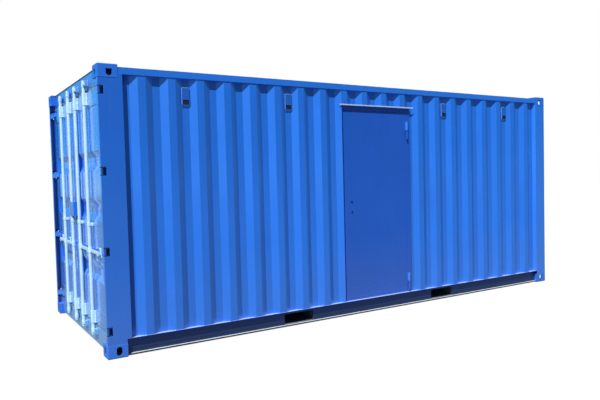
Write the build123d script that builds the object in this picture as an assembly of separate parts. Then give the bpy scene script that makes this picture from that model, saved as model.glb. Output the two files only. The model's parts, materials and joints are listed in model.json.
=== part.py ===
from build123d import *
import math
import os

# A 20 ft steel shipping container, 8 ft 6 in high, with a personnel door in one long side.
# Millimetres. X runs along the length with the cargo doors at -X, the personnel door is in the
# -Y side, Z is up, and the origin is the middle of the underside.
# Depths are counted inwards from the corner fittings' outer faces.

# Overall size
length = 6058
width = 2438
height = 2591

# Corner fittings
fitting_length = 178
fitting_width = 162
fitting_height = 118
fitting_outer_wall = 16
fitting_load_wall = 28
fitting_inner_wall = 12
fitting_edge_radius = 10
lock_hole_length = 124
lock_hole_width = 63.5
lock_hole_from_end = 102.5
lock_hole_from_side = 89.5
shield_hole_width = 53
shield_hole_height = 60
shield_hole_drop = 73
slot_hole_width = 51
slot_hole_height = 79
slot_hole_rise = 63

# Corner posts
post_inset = 2
post_plate = 6
rear_post_length = 217
rear_post_depth = 54
rear_lip_width = 46
rear_lip_depth = 3
jamb_plate = 10
front_post_length = 188
front_post_slant = 22
front_post_face = 130
front_post_face_slant = 18
post_flange = 32

# Hinge cut-outs in the rear posts
hinge_count = 4
hinge_slot_length = 52
hinge_slot_height = 77
hinge_low = 245
hinge_top_drop = 229

# Side rails
top_rail_size = 60
top_rail_drop = 26
top_rail_inset = 4
top_rail_wall = 3
bottom_rail_low = 17
bottom_rail_top = 166
bottom_rail_inset = 3
bottom_rail_plate = 4.5
bottom_rail_upper_flange = 48
bottom_rail_lower_flange = 30

# Corrugated walls and stamped roof
sheet = 2
side_crest_depth = 9
side_corrugation = 36
side_pitch = 278
side_crest_face = 72
side_slope = 68
front_crest_depth = 8
front_corrugation = 45.6
front_pitch = 250
front_crest_face = 110
front_slope = 18
roof_corrugation = 20
roof_pitch = 209
roof_pad_width = 91
roof_pad_slope = 13.5
roof_pad_end_gap = 110
roof_weld_gap = 0.5

# Door header, sill and front rails
header_face_depth = 47
header_back_depth = 165
header_drop = 159
header_top_drop = 6
header_stop_drop = 34
header_plate = 5
sill_top = 190
sill_low = 22
sill_ramp_depth = 150
sill_plate = 5
front_rail_depth = 4
front_rail_size = 60

# Floor and underframe
floor_thickness = 28
cross_member_height = 121
cross_member_flange = 45
cross_member_plate = 4
cross_member_pitch = 290
pocket_width = 355
pocket_spacing = 2080
pocket_low = 28
pocket_high = 132
pocket_plate = 6
pocket_roof_plate = 3
pocket_strap = 600

# Cargo door leaves
leaf_edge_gap = 7
leaf_face_depth = 44
leaf_thickness = 50
leaf_wall = 4
leaf_middle_gap = 10
hinge_stile_width = 100
lock_stile_width = 126
leaf_rail_height = 150
panel_recess = 4
panel_trough_depth = 20
panel_trough_floor = 70
panel_trough_slope = 62
panel_low_trough = 368
panel_high_trough = 505
panel_middle_share = 0.56
gasket_width = 12
gasket_gap = 5
gasket_middle_width = 4
gasket_depth = 48
gasket_length = 52
jamb_gap = 6

# Cargo door hinges
pin_depth = 14
pin_radius = 7
pin_clearance = 0.3
knuckle_radius = 12
blade_height = 60
blade_tip_height = 44
blade_reach = 205
blade_thickness = 12
lug_thickness = 12
lug_reach = 34

# Lock bars
bar_radius = 17
bar_depth = 21
inner_bar_place = 172
outer_bar_shift = 21
bar_low = 100
bar_head_drop = 66
guide_clearance = 0.6
guide_wall = 3
guide_plate = 4
guide_plate_width = 70
bearing_height = 118
bearing_margin = 7
middle_guide_z = 1163
middle_guide_height = 32
cam_radius = 20
cam_thickness = 22
cam_reach = 62
cam_width = 26
cam_hook = 4
cam_margin = 16
keeper_gap = 6
keeper_shelf = 8
keeper_start = 28
keeper_end = 92
keeper_nose_depth = 12
keeper_margin = 10

# Door handles and their catches
handle_z = 915
handle_bar_gap = 72
handle_height = 28
handle_thickness = 10
handle_hub_radius = 20.5
handle_hub_height = 50
catch_gap = 5
catch_width = 40
catch_plate_height = 90
catch_plate_width = 60
catch_from_tip = 20
catch_shelf = 6
catch_nose_depth = 14

# Lock box on the left leaf
lock_box_low = 1215
lock_box_high = 1362
lock_box_inner = 14
lock_box_outer = 203
lock_box_front_depth = 0.5
lock_box_plate = 3

# Personnel door
side_door_left = 2574
side_door_right = 3573
side_door_drop = 164
side_door_face = 34
side_jamb_left = 32
side_jamb_right = 54
side_head = 50
side_sill = 16
side_frame_wall = 3
side_leaf_gap = 5
side_leaf_thickness = 40
side_leaf_sheet = 2
side_stop_gap = 5
side_stop_plate = 6
side_stop_reach = 20
ledge_plate = 6
ledge_overhang = 32
side_hinge_radius = 11
side_hinge_pin_radius = 5
side_hinge_depth = 15
side_hinge_length = 200
side_hinge_gap = 4
side_hinge_low = 191
side_hinge_drop = 359
lock_rose_radius = 12
lock_rose_height = 4
lock_rose_places = (1271, 1158)
lock_rose_from_edge = 92

# Ventilators
vent_width = 66
vent_front_width = 74
vent_drop = 81
vent_height = 188
vent_depth = 30
vent_wall = 2
vent_slot_rise = 32
vent_slot_height = 44
vent_trough_counts = (-8, -4, 4, 8)

door_end = -length / 2
front_end = length / 2
near_side = -width / 2
top_rail_top = height - top_rail_drop
top_rail_bottom = top_rail_top - top_rail_size
post_bottom = fitting_height
post_top = height - fitting_height
side_trough_depth = side_crest_depth + side_corrugation
front_trough_depth = front_crest_depth + front_corrugation
header_bottom = height - header_drop
leaf_top = header_bottom - gasket_gap - gasket_width
leaf_bottom = sill_top + gasket_gap + gasket_width
leaf_edge = rear_post_depth + leaf_edge_gap
jamb_depth = gasket_depth + gasket_length + jamb_gap
bar_high = height - bar_head_drop
stile_place = width / 2 - leaf_edge - hinge_stile_width
outer_bar_place = (inner_bar_place + stile_place) / 2 - outer_bar_shift
bar_places = (inner_bar_place, outer_bar_place)
handle_length = outer_bar_place - inner_bar_place - handle_bar_gap
hinge_high = height - hinge_top_drop
side_door_top = top_rail_bottom - side_door_drop
side_hinge_high = side_door_top - side_hinge_drop
vent_high = top_rail_bottom - vent_drop
vent_low = vent_high - vent_height
hinge_heights = [hinge_low + k * (hinge_high - hinge_low) / (hinge_count - 1) for k in range(hinge_count)]
panel_depth = leaf_face_depth + panel_recess
floor_top = bottom_rail_top
floor_edge = rear_post_depth
rail_web_inside = bottom_rail_inset + bottom_rail_upper_flange
side_leaf_bottom = bottom_rail_top + side_sill + side_leaf_gap
side_leaf_top = side_door_top - side_head - side_leaf_gap


def block(x0, x1, y0, y1, z0, z1):
    """A box between two corners."""
    return Pos((x0 + x1) / 2, (y0 + y1) / 2, (z0 + z1) / 2) * Box(x1 - x0, y1 - y0, z1 - z0)


def upright(outline, z0, z1):
    """An outline in plan, points (x, y), carried up from z0 to z1."""
    face = make_face(Polyline(*[(x, y, z0) for x, y in outline], close=True))
    return extrude(face, amount=z1 - z0, dir=(0, 0, 1))


def lengthwise(outline, x0, x1):
    """An outline across the container, points (y, z), carried from x0 to x1."""
    face = make_face(Polyline(*[(x0, y, z) for y, z in outline], close=True))
    return extrude(face, amount=x1 - x0, dir=(1, 0, 0))


def crosswise(outline, y0, y1):
    """An outline along the container, points (x, z), carried from y0 to y1."""
    face = make_face(Polyline(*[(x, y0, z) for x, z in outline], close=True))
    return extrude(face, amount=y1 - y0, dir=(0, 1, 0))


def rod(x, y, radius, z0, z1):
    """An upright round bar."""
    return Pos(x, y, (z0 + z1) / 2) * Cylinder(radius, z1 - z0)


def pressed(path, thickness):
    """The closed outline of a folded plate whose face follows the path, with the plate on its left."""
    normals = []
    for (ax, ay), (bx, by) in zip(path, path[1:]):
        run = math.hypot(bx - ax, by - ay)
        normals.append(((ay - by) / run, (bx - ax) / run))
    back = []
    for i, (px, py) in enumerate(path):
        nx, ny = normals[max(i - 1, 0)]
        mx, my = normals[min(i, len(normals) - 1)]
        share = thickness / (1 + nx * mx + ny * my)
        back.append((px + (nx + mx) * share, py + (ny + my) * share))
    return path + back[::-1]


def both_sides(piece):
    """A piece of the -Y side with its twin on the +Y side."""
    return [piece, mirror(piece, about=Plane.XZ)]


def four_corners(piece):
    """A piece of the -X -Y corner with its three twins."""
    near = [piece, mirror(piece, about=Plane.YZ)]
    return near + [mirror(p, about=Plane.XZ) for p in near]


def x_at(depth):
    """Depth in from the door end."""
    return door_end + depth


def x_front(depth):
    """Depth in from the front end."""
    return front_end - depth


def y_at(depth):
    """Depth in from the personnel door side."""
    return near_side + depth


def corner_casting(hole, hole_distance):
    """A hollow corner casting with its outer corner at the origin, load face down."""
    body = Box(fitting_length, fitting_width, fitting_height, align=(Align.MIN,) * 3)
    outer = [e for e in body.edges() if sum(abs(c) < 0.01 for c in e.center()) == 2]
    body = fillet(outer, fitting_edge_radius)
    body -= Pos(fitting_outer_wall, fitting_outer_wall, fitting_load_wall) * Box(
        fitting_length - fitting_outer_wall - fitting_inner_wall,
        fitting_width - fitting_outer_wall - fitting_inner_wall,
        fitting_height - fitting_load_wall - fitting_inner_wall,
        align=(Align.MIN,) * 3,
    )
    lock_hole = extrude(SlotOverall(lock_hole_length, lock_hole_width), amount=fitting_load_wall + 1, both=True)
    body -= Pos(lock_hole_from_end, lock_hole_from_side, 0) * lock_hole
    cutter = Rot(X=90) * extrude(hole, amount=fitting_outer_wall + 1, both=True)
    body -= Pos(lock_hole_from_end, 0, hole_distance) * cutter
    body -= Pos(0, lock_hole_from_side, hole_distance) * Rot(Z=90) * cutter
    return body


def bottom_corner_fittings():
    hole = SlotOverall(slot_hole_height, slot_hole_width, rotation=90)
    casting = corner_casting(hole, slot_hole_rise)
    return four_corners(Pos(door_end, near_side, 0) * casting)


def top_corner_fittings():
    """The side holes are flat towards the top and round below."""
    radius = shield_hole_width / 2
    straight = shield_hole_height - radius
    hole = Circle(radius) + Pos(0, -straight / 2) * Rectangle(shield_hole_width, straight)
    hole = Pos(0, shield_hole_height / 2 - radius) * hole
    casting = corner_casting(hole, shield_hole_drop)
    return four_corners(Pos(door_end, near_side, height) * mirror(casting, about=Plane.XY))


def rear_post():
    """The J section that the cargo doors hang in: a folded outer plate closed by a channel."""
    lip, side, back, jamb = x_at(rear_lip_depth), y_at(post_inset), x_at(rear_post_length), x_at(jamb_depth)
    outline = [
        (lip, side),
        (back, side),
        (back, y_at(rear_post_depth)),
        (jamb, y_at(rear_post_depth)),
        (jamb, side + post_plate),
        (lip + post_plate, side + post_plate),
        (lip + post_plate, side + rear_lip_width),
        (lip, side + rear_lip_width),
    ]
    post = upright(outline, post_bottom, top_rail_bottom)
    post -= block(
        jamb + jamb_plate, back - post_plate, side + post_plate, y_at(rear_post_depth) - post_plate,
        post_bottom - 1, top_rail_bottom + 1,
    )
    post -= block(door_end, x_at(fitting_length), near_side, 0, post_top, height)
    post -= block(x_at(fitting_length), 0, near_side, 0, 0, bottom_rail_top)
    for z in hinge_heights:
        half = hinge_slot_height / 2
        post -= block(
            door_end, x_at(hinge_slot_length), near_side, side + rear_lip_width + 1, z - half, z + half,
        )
    return post


def front_post():
    """An open section pressed from one plate, with a flange for each wall sheet."""
    side_flange = side_trough_depth + sheet
    end_flange = front_trough_depth + sheet
    base = front_post_length + front_post_slant
    face_end = front_post_face + front_post_face_slant
    path = [
        (x_front(base + post_flange), y_at(side_flange)),
        (x_front(base), y_at(side_flange)),
        (x_front(front_post_length), y_at(post_inset)),
        (x_front(post_inset), y_at(post_inset)),
        (x_front(post_inset), y_at(front_post_face)),
        (x_front(end_flange), y_at(face_end)),
        (x_front(end_flange), y_at(face_end + post_flange + post_plate)),
    ]
    post = upright(pressed(path, post_plate), post_bottom, top_rail_bottom)
    post -= block(x_front(fitting_length), front_end, near_side, 0, post_top, height)
    post -= block(0, x_front(fitting_length), near_side, 0, 0, bottom_rail_top)
    return post


def top_side_rail():
    """A square tube between the top fittings."""
    y0, y1 = y_at(top_rail_inset), y_at(top_rail_inset + top_rail_size)
    x0, x1 = x_at(fitting_length), x_front(fitting_length)
    rail = block(x0, x1, y0, y1, top_rail_bottom, top_rail_top)
    w = top_rail_wall
    return rail - block(x0 - 1, x1 + 1, y0 + w, y1 - w, top_rail_bottom + w, top_rail_top - w)


def pocket_centres():
    return [-pocket_spacing / 2, pocket_spacing / 2]


def bottom_side_rail():
    """A channel that opens outwards, with its lower flange shorter and the fork pockets cut through."""
    web = y_at(rail_web_inside)
    path = [
        (web - bottom_rail_lower_flange, bottom_rail_low),
        (web, bottom_rail_low),
        (web, bottom_rail_top),
        (web - bottom_rail_upper_flange, bottom_rail_top),
    ]
    rail = lengthwise(pressed(path, bottom_rail_plate), x_at(fitting_length), x_front(fitting_length))
    for x in pocket_centres():
        rail -= block(x - pocket_width / 2, x + pocket_width / 2, near_side, 0, pocket_low, pocket_high)
    return rail


def corrugation(start, end, centre, pitch, face, slope, crest, trough):
    """Path of a trapezoid sheet from start to end, its crests spaced evenly about the centre.

    crest and trough are the coordinates across the sheet.
    """
    reach = min(centre - start, end - centre) - face / 2 - slope
    halves = int(reach / pitch + 0.5)
    points = [(start, trough)]
    for k in range(-halves, halves):
        middle = centre + (k + 0.5) * pitch
        points += [
            (middle - face / 2 - slope, trough),
            (middle - face / 2, crest),
            (middle + face / 2, crest),
            (middle + face / 2 + slope, trough),
        ]
    return points + [(end, trough)]


def side_sheet():
    """The whole corrugated sheet of the -Y side, from the rear post to the front post."""
    path = corrugation(
        x_at(rear_post_length), x_front(front_post_length + front_post_slant + sheet), 0,
        side_pitch, side_crest_face, side_slope, y_at(side_crest_depth), y_at(side_trough_depth),
    )
    return upright(pressed(path, sheet), bottom_rail_top, top_rail_bottom)


def side_wall_parts():
    """The -Y sheet cut round the personnel door: rear of it, over it, and in front of it."""
    whole = side_sheet()
    x0, x1 = x_at(side_door_left), x_at(side_door_right)
    rear = whole & block(door_end, x0, near_side, 0, 0, height)
    over = whole & block(x0, x1, near_side, 0, side_door_top, height)
    front = whole & block(x1, front_end, near_side, 0, 0, height)
    return rear, over, front


def front_wall():
    """The corrugated end sheet between the front posts."""
    half = width / 2 - fitting_width - sheet
    path = corrugation(
        -half, half, 0, front_pitch, front_crest_face, front_slope,
        -front_crest_depth, -front_trough_depth,
    )
    outline = [(front_end + depth, y) for y, depth in pressed(path, -sheet)]
    return upright(outline, bottom_rail_top, top_rail_bottom)


def roof():
    """Stamped sheets with pads across them, and a flat plate across each end between the corner fittings."""
    z0, z1 = top_rail_top, top_rail_top + sheet
    x0, x1 = x_at(fitting_length), x_front(fitting_length)
    half = width / 2 - top_rail_inset
    panel = block(x0, x1, -half, half, z0, z1)
    bay = length - 2 * fitting_length - roof_pad_width - 2 * roof_pad_slope
    count = int(bay / roof_pitch) + 1
    pad_half = width / 2 - roof_pad_end_gap
    for k in range(count):
        x = (k - (count - 1) / 2) * roof_pitch
        foot = Plane.XY.offset(z0) * Pos(x, 0) * Rectangle(
            roof_pad_width + 2 * roof_pad_slope, 2 * (pad_half + roof_pad_slope)
        )
        crown = Plane.XY.offset(z0 + roof_corrugation) * Pos(x, 0) * Rectangle(roof_pad_width, 2 * pad_half)
        pad = loft(Sketch() + [foot, crown])
        panel += Pos(0, 0, sheet) * pad
        panel -= pad
    between = width / 2 - fitting_width
    return [
        panel,
        block(x_at(header_face_depth + header_plate), x0 - roof_weld_gap, -between, between, z0, z1),
        block(x1 + roof_weld_gap, x_front(front_rail_depth), -between, between, z0, z1),
    ]


def door_header():
    """A folded header with a stop behind the leaves, an upstand before the roof and a flange under it."""
    path = [
        (x_at(header_face_depth), height - header_top_drop),
        (x_at(header_face_depth), header_bottom),
        (x_at(jamb_depth), header_bottom),
        (x_at(jamb_depth), header_bottom - header_stop_drop),
    ]
    half = width / 2 - post_inset - post_plate
    header = crosswise(pressed(path, header_plate), -half, half)
    header += block(
        x_at(header_face_depth + header_plate), x_at(header_back_depth), -half, half, top_rail_top - header_plate,
        top_rail_top,
    )
    for corner in both_sides(block(door_end, 0, near_side, y_at(fitting_width), post_top, height)):
        header -= corner
    for post in both_sides(block(x_at(jamb_depth), 0, near_side, y_at(rear_post_depth), 0, height)):
        header -= post
    return header


def door_sill():
    """A folded sill whose back slopes down to the floor."""
    path = [
        (x_at(jamb_depth), sill_top),
        (x_at(header_face_depth), sill_top),
        (x_at(header_face_depth), sill_low),
        (x_at(jamb_depth), sill_low),
    ]
    path = [(x_at(sill_ramp_depth), floor_top)] + path
    half = width / 2 - post_inset - post_plate
    sill = crosswise(pressed(path, sill_plate), -half, half)
    for corner in both_sides(block(door_end, 0, near_side, y_at(fitting_width), 0, post_bottom)):
        sill -= corner
    for post in both_sides(block(x_at(jamb_depth), 0, near_side, y_at(rear_post_depth), 0, height)):
        sill -= post
    return sill


def front_top_rail():
    """A square tube between the front top fittings."""
    half = width / 2 - fitting_width
    x0, x1 = x_front(front_rail_depth + front_rail_size), x_front(front_rail_depth)
    z0, z1, w = top_rail_top - front_rail_size, top_rail_top, top_rail_wall
    rail = block(x0, x1, -half, half, z0, z1)
    return rail - block(x0 + w, x1 - w, -half - 1, half + 1, z0 + w, z1 - w)


def front_bottom_rail():
    """A channel that opens inwards under the front wall."""
    x0, x1 = x_front(front_rail_depth + front_rail_size), x_front(front_rail_depth)
    path = [(x0, bottom_rail_low), (x1, bottom_rail_low), (x1, bottom_rail_top), (x0, bottom_rail_top)]
    half = width / 2 - fitting_width
    rail = crosswise(pressed(path, bottom_rail_plate), -half, half)
    flange_end = front_post_face + front_post_face_slant + post_flange + post_plate
    for corner in both_sides(block(0, front_end, near_side, y_at(flange_end + 1), post_bottom, height)):
        rail -= corner
    return rail


def side_member(x, opening):
    """A C section across the underframe, its web at x and its flanges towards opening (1 or -1)."""
    z0 = floor_top - floor_thickness - cross_member_height
    z1 = floor_top - floor_thickness
    tip = x + opening * cross_member_flange
    path = [(tip, z0), (x, z0), (x, z1), (tip, z1)]
    outline = pressed(path, -opening * cross_member_plate)
    return crosswise(outline, y_at(rail_web_inside), -y_at(rail_web_inside))


def cross_members():
    """C sections across the underframe, left out where the fork pockets pass."""
    start, end = x_at(fitting_length), x_front(fitting_length)
    count = int((end - start) / cross_member_pitch)
    members = []
    for k in range(count):
        x = start + (k + 0.5) * (end - start) / count
        keep_off = pocket_width / 2 + 2 * cross_member_flange
        if all(abs(x - p) > keep_off for p in pocket_centres()):
            members.append(side_member(x, 1))
    return members


def fork_pockets():
    """Two tunnels across the underframe: a member each side, a roof plate, and straps below the mouths."""
    pieces = []
    inside = y_at(rail_web_inside)
    for x in pocket_centres():
        half = pocket_width / 2
        tunnel = side_member(x - half, -1) + side_member(x + half, 1)
        tunnel += block(x - half, x + half, inside, -inside, pocket_high, pocket_high + pocket_roof_plate)
        for y0, y1 in ((inside, inside + pocket_strap), (-inside - pocket_strap, -inside)):
            tunnel += block(x - half, x + half, y0, y1, pocket_low - pocket_plate, pocket_low)
        pieces.append(tunnel)
    return pieces


def floor():
    """Plywood boards laid on the cross members, between the sill and the front wall."""
    x0 = x_at(sill_ramp_depth)
    x1 = x_front(max(front_rail_depth + front_rail_size, front_trough_depth + sheet + post_plate))
    return block(x0, x1, y_at(floor_edge), -y_at(floor_edge), floor_top - floor_thickness, floor_top)


def ventilators():
    """Sheet hoods in the troughs of both long walls, open through a slot above their sloping foot."""
    back, face, t = y_at(side_trough_depth), y_at(vent_depth), vent_wall
    low, high, slot = vent_low, vent_high, vent_low + vent_slot_rise
    foot = t * math.hypot(slot - low, face - back) / (back - face)
    outer_side = [(back, low), (face, slot), (face, high), (back, high)]
    inner_side = [(back + 1, low + foot), (face, slot + foot), (face, high - t), (back + 1, high - t)]
    hoods = []
    for k in vent_trough_counts:
        x = k * side_pitch
        w, d = vent_width / 2, vent_front_width / 2
        outer = [(x - w, back), (x - d, face), (x + d, face), (x + w, back)]
        inner = [(x - w + t, back + 1), (x - d + t, face + t), (x + d - t, face + t), (x + w - t, back + 1)]
        hood = upright(outer, low, high) & lengthwise(outer_side, x - d, x + d)
        hood -= upright(inner, low, high) & lengthwise(inner_side, x - d, x + d)
        hood -= block(x - w + t, x + w - t, face - 1, back, slot, slot + vent_slot_height)
        hoods += both_sides(hood)
    return hoods


def hinge_lugs():
    """Above and below each cut-out a lug welded in the post's corner, with the pin between them."""
    half = hinge_slot_height / 2
    x0, y0 = x_at(rear_lip_depth + post_plate), y_at(post_inset + post_plate)
    x1, y1 = x_at(lug_reach), y_at(lug_reach)
    lugs = []
    for z in hinge_heights:
        outline = [(x0, y0), (x1, y0), (x1, y_at(pin_depth)), (x_at(pin_depth), y1), (x0, y1)]
        piece = upright(outline, z + half, z + half + lug_thickness)
        piece += upright(outline, z - half - lug_thickness, z - half)
        piece += rod(x_at(pin_depth), y_at(pin_depth), pin_radius, z - half, z + half)
        lugs += both_sides(piece)
    return lugs


def hinge_blades():
    """A knuckle round the pin with a blade that runs back onto the leaf's stile, right leaf."""
    blades = []
    x, y = x_at(pin_depth), y_at(pin_depth)
    back, front = x_at(leaf_face_depth), x_at(leaf_face_depth - blade_thickness)
    stile = y_at(leaf_edge)
    plan = [
        (x, y - knuckle_radius * 0.6),
        (x + knuckle_radius * 0.8, y - knuckle_radius * 0.6),
        (back, y + knuckle_radius * 0.8),
        (back, y + blade_reach),
        (front, y + blade_reach - blade_thickness),
        (front, stile - knuckle_radius),
        (x - knuckle_radius * 0.6, y + knuckle_radius * 0.8),
    ]
    for z in hinge_heights:
        half, tip = blade_height / 2, blade_tip_height / 2
        blade = upright(plan, z - half, z + half)
        shoulder = stile + hinge_stile_width / 3
        end = y + blade_reach
        taper = [(shoulder, z + half), (end + 1, z + tip), (end + 1, z + half + 1), (shoulder, z + half + 1)]
        blade -= lengthwise(taper, door_end, 0)
        blade -= lengthwise([(a, 2 * z - b) for a, b in taper], door_end, 0)
        blade += rod(x, y, knuckle_radius, z - half, z + half)
        blade -= rod(x, y, pin_radius + pin_clearance, z - half - 1, z + half + 1)
        blades.append(blade)
    return blades


def leaf_frame():
    """The welded frame of the right leaf: hinge stile, lock stile and two rails."""
    x0, x1 = x_at(leaf_face_depth), x_at(leaf_face_depth + leaf_thickness)
    y0, y1 = y_at(leaf_edge), -leaf_middle_gap
    frame = block(x0, x1, y0, y1, leaf_bottom, leaf_top)
    bay = [y0 + hinge_stile_width, y1 - lock_stile_width, leaf_bottom + leaf_rail_height, leaf_top - leaf_rail_height]
    w = leaf_wall
    inside = block(x0 + w, x1 - w, y0 + w, y1 - w, leaf_bottom + w, leaf_top - w)
    inside -= block(x0, x1, bay[0] - w, bay[1] + w, bay[2] - w, bay[3] + w)
    return frame - inside - block(x0 - 1, x1 + 1, *bay)


def leaf_panel():
    """The pressed panel of the right leaf, with level troughs across it."""
    face, bed = x_at(panel_depth), x_at(panel_depth + panel_trough_depth)
    top, bottom = leaf_top - leaf_rail_height, leaf_bottom + leaf_rail_height
    high, low = top - panel_high_trough, bottom + panel_low_trough
    path = [(face, top)]
    for z in (high, low + panel_middle_share * (high - low), low):
        half = panel_trough_floor / 2
        path += [
            (face, z + half + panel_trough_slope),
            (bed, z + half),
            (bed, z - half),
            (face, z - half - panel_trough_slope),
        ]
    path.append((face, bottom))
    y0, y1 = y_at(leaf_edge + hinge_stile_width), -leaf_middle_gap - lock_stile_width
    return crosswise(pressed(path, sheet), y0, y1)


def leaf_gasket():
    """The rubber seal round the right leaf's edges."""
    x0, x1 = x_at(gasket_depth), x_at(gasket_depth + gasket_length)
    y0, y1 = y_at(leaf_edge), -leaf_middle_gap
    seal = block(x0, x1, y0 - gasket_width, y1 + gasket_middle_width, leaf_bottom - gasket_width, leaf_top + gasket_width)
    return seal - block(x0 - 1, x1 + 1, y0, y1, leaf_bottom, leaf_top)


def bar_guide(y, z0, z1, face_depth):
    """A plate on the leaf with a saddle that the lock bar turns in."""
    inner = bar_radius + guide_clearance
    outer = inner + guide_wall
    x = x_at(bar_depth)
    legs = face_depth - guide_plate - bar_depth
    saddle = Circle(outer) + Pos(legs / 2, 0) * Rectangle(legs, 2 * outer)
    hollow = Circle(inner) + Pos((legs + 1) / 2, 0) * Rectangle(legs + 1, 2 * inner)
    guide = Pos(x, y, z0) * extrude(saddle - hollow, amount=z1 - z0, dir=(0, 0, 1))
    half = guide_plate_width / 2
    return guide + block(x_at(face_depth - guide_plate), x_at(face_depth), y - half, y + half, z0, z1)


def bar_guides():
    """For each bar of the right leaf a bearing near the top and bottom and a guide between."""
    guides = []
    for place in bar_places:
        top = leaf_top - bearing_margin
        bottom = leaf_bottom + bearing_margin
        half = middle_guide_height / 2
        guides.append(bar_guide(-place, top - bearing_height, top, leaf_face_depth))
        guides.append(bar_guide(-place, bottom, bottom + bearing_height, leaf_face_depth))
        guides.append(bar_guide(-place, middle_guide_z - half, middle_guide_z + half, panel_depth))
    return guides


def cam_heights():
    """The middle height of the cam at the bar's foot and at its head."""
    return bar_low + cam_margin + cam_thickness, bar_high - cam_margin - cam_thickness


def lock_bar(place):
    """A bar of the right leaf with a cam at each end and a handle that points to the hinges."""
    x, y = x_at(bar_depth), -place
    bar = rod(x, y, bar_radius, bar_low, bar_high)
    half = cam_width / 2
    plan = [
        (x - half, y),
        (x - half, y - cam_reach + half),
        (x - half / 2, y - cam_reach),
        (x + half + cam_hook, y - cam_reach),
        (x + half + cam_hook, y - cam_reach + half),
        (x + half, y - cam_reach + half),
        (x + half, y),
    ]
    for z in cam_heights():
        bar += upright(plan, z - cam_thickness / 2, z + cam_thickness / 2)
        bar += rod(x, y, cam_radius, z - cam_thickness, z + cam_thickness)
    bar += rod(x, y, handle_hub_radius, handle_z - handle_hub_height / 2, handle_z + handle_hub_height / 2)
    bar += block(
        x - handle_thickness / 2, x + handle_thickness / 2, y - handle_length, y,
        handle_z - handle_height / 2, handle_z + handle_height / 2,
    )
    return bar


def cam_keepers():
    """Brackets on the header and the sill, open to the front, whose shelves take the cams between them."""
    keepers = []
    back, face = x_at(header_face_depth), x_at(header_face_depth - guide_plate)
    nose = x_at(keeper_nose_depth)
    for place in bar_places:
        y0, y1 = -place - keeper_end, -place - keeper_start
        for z in cam_heights():
            inner = cam_thickness / 2 + keeper_gap
            outer = inner + keeper_shelf
            keeper = block(face, back, y0, y1, z - outer - keeper_margin, z + outer + keeper_margin)
            shelf = [(face, y0), (nose, y0), (nose, y1 - keeper_shelf), (face, y1)]
            keeper += upright(shelf, z + inner, z + outer)
            keeper += upright(shelf, z - outer, z - inner)
            keeper += block(nose, face, y0, y0 + keeper_shelf, z - outer, z + outer)
            keepers += both_sides(keeper)
    return keepers


def handle_catches():
    """A plate on the right leaf's panel with a shelf just under each handle's end."""
    catches = []
    face = panel_depth - guide_plate
    top = handle_z - handle_height / 2 - catch_gap
    for place in bar_places:
        y = -place - handle_length + catch_from_tip + catch_width / 2
        half, wide = catch_width / 2, catch_plate_width / 2
        low = handle_z - catch_plate_height / 2
        piece = block(x_at(face), x_at(panel_depth), y - wide, y + wide, low, low + catch_plate_height)
        piece += block(x_at(catch_nose_depth), x_at(face), y - half, y + half, top - catch_shelf, top)
        catches.append(piece)
    return catches


def lock_box():
    """A folded guard over the left leaf's inner bar, open above and below, welded to the lock stile."""
    front, back = x_at(lock_box_front_depth), x_at(leaf_face_depth)
    path = [
        (back, lock_box_inner),
        (front, lock_box_inner),
        (front, lock_box_outer),
        (x_at(bar_depth + bar_radius), lock_box_outer),
    ]
    return upright(pressed(path, -lock_box_plate), lock_box_low, lock_box_high)


def side_door_frame():
    """The welded frame round the personnel door, with a stop behind the leaf and a drip ledge on top."""
    x0, x1 = x_at(side_door_left), x_at(side_door_right)
    z0, z1 = bottom_rail_top, side_door_top
    face = y_at(side_door_face)
    stop = face + side_leaf_thickness + side_stop_gap
    back = stop + side_stop_plate
    ix0, ix1 = x0 + side_jamb_left, x1 - side_jamb_right
    iz0, iz1 = z0 + side_sill, z1 - side_head
    w = side_frame_wall
    frame = block(x0, x1, face, back, z0, z1)
    inside = block(x0 + w, x1 - w, face + w, stop - w, z0 + w, z1 - w)
    inside -= block(ix0 - w, ix1 + w, face, stop, iz0 - w, iz1 + w)
    frame -= inside
    frame -= block(ix0, ix1, face - 1, stop, iz0, iz1)
    r = side_stop_reach
    frame -= block(ix0 + r, ix1 - r, stop - 1, back + 1, iz0, iz1 - r)
    frame += block(x0, x0 + w, y_at(side_crest_depth), face, z0, z1)
    ledge = block(x0 - ledge_overhang, x1 + ledge_overhang, near_side + 1, face, z1, z1 + ledge_plate)
    ledge &= block(x0 - ledge_overhang, x1 + ledge_overhang, near_side, y_at(side_crest_depth), 0, height)
    ledge += block(x0, x1, near_side + 1, face + post_plate, z1 - ledge_plate, z1)
    return frame + ledge


def side_hinge_places():
    return [side_hinge_low, side_hinge_high]


def side_hinge_x():
    return x_at(side_door_right - side_jamb_right - side_leaf_gap / 2)


def side_hinge_frame_halves():
    """The lower barrel of each weld-on hinge with its pin, on a pad on the jamb."""
    x, y, r = side_hinge_x(), y_at(side_hinge_depth), side_hinge_radius
    barrel = (side_hinge_length - side_hinge_gap) / 2
    halves = []
    for z in side_hinge_places():
        half = rod(x, y, r, z, z + barrel)
        half += rod(x, y, side_hinge_pin_radius, z, z + side_hinge_length - side_hinge_gap)
        half += block(x + side_leaf_gap, x + r, y, y_at(side_door_face), z, z + barrel)
        halves.append(half)
    return halves


def side_hinge_leaf_halves():
    """The upper barrel of each weld-on hinge, on a pad on the leaf."""
    x, y, r = side_hinge_x(), y_at(side_hinge_depth), side_hinge_radius
    barrel = (side_hinge_length - side_hinge_gap) / 2
    halves = []
    for z in side_hinge_places():
        low = z + barrel + side_hinge_gap
        half = rod(x, y, r, low, low + barrel)
        half += block(x - r, x - side_leaf_gap, y, y_at(side_door_face), low, low + barrel)
        half -= rod(x, y, side_hinge_pin_radius + pin_clearance, low - 1, low + barrel - side_hinge_gap)
        halves.append(half)
    return halves


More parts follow.
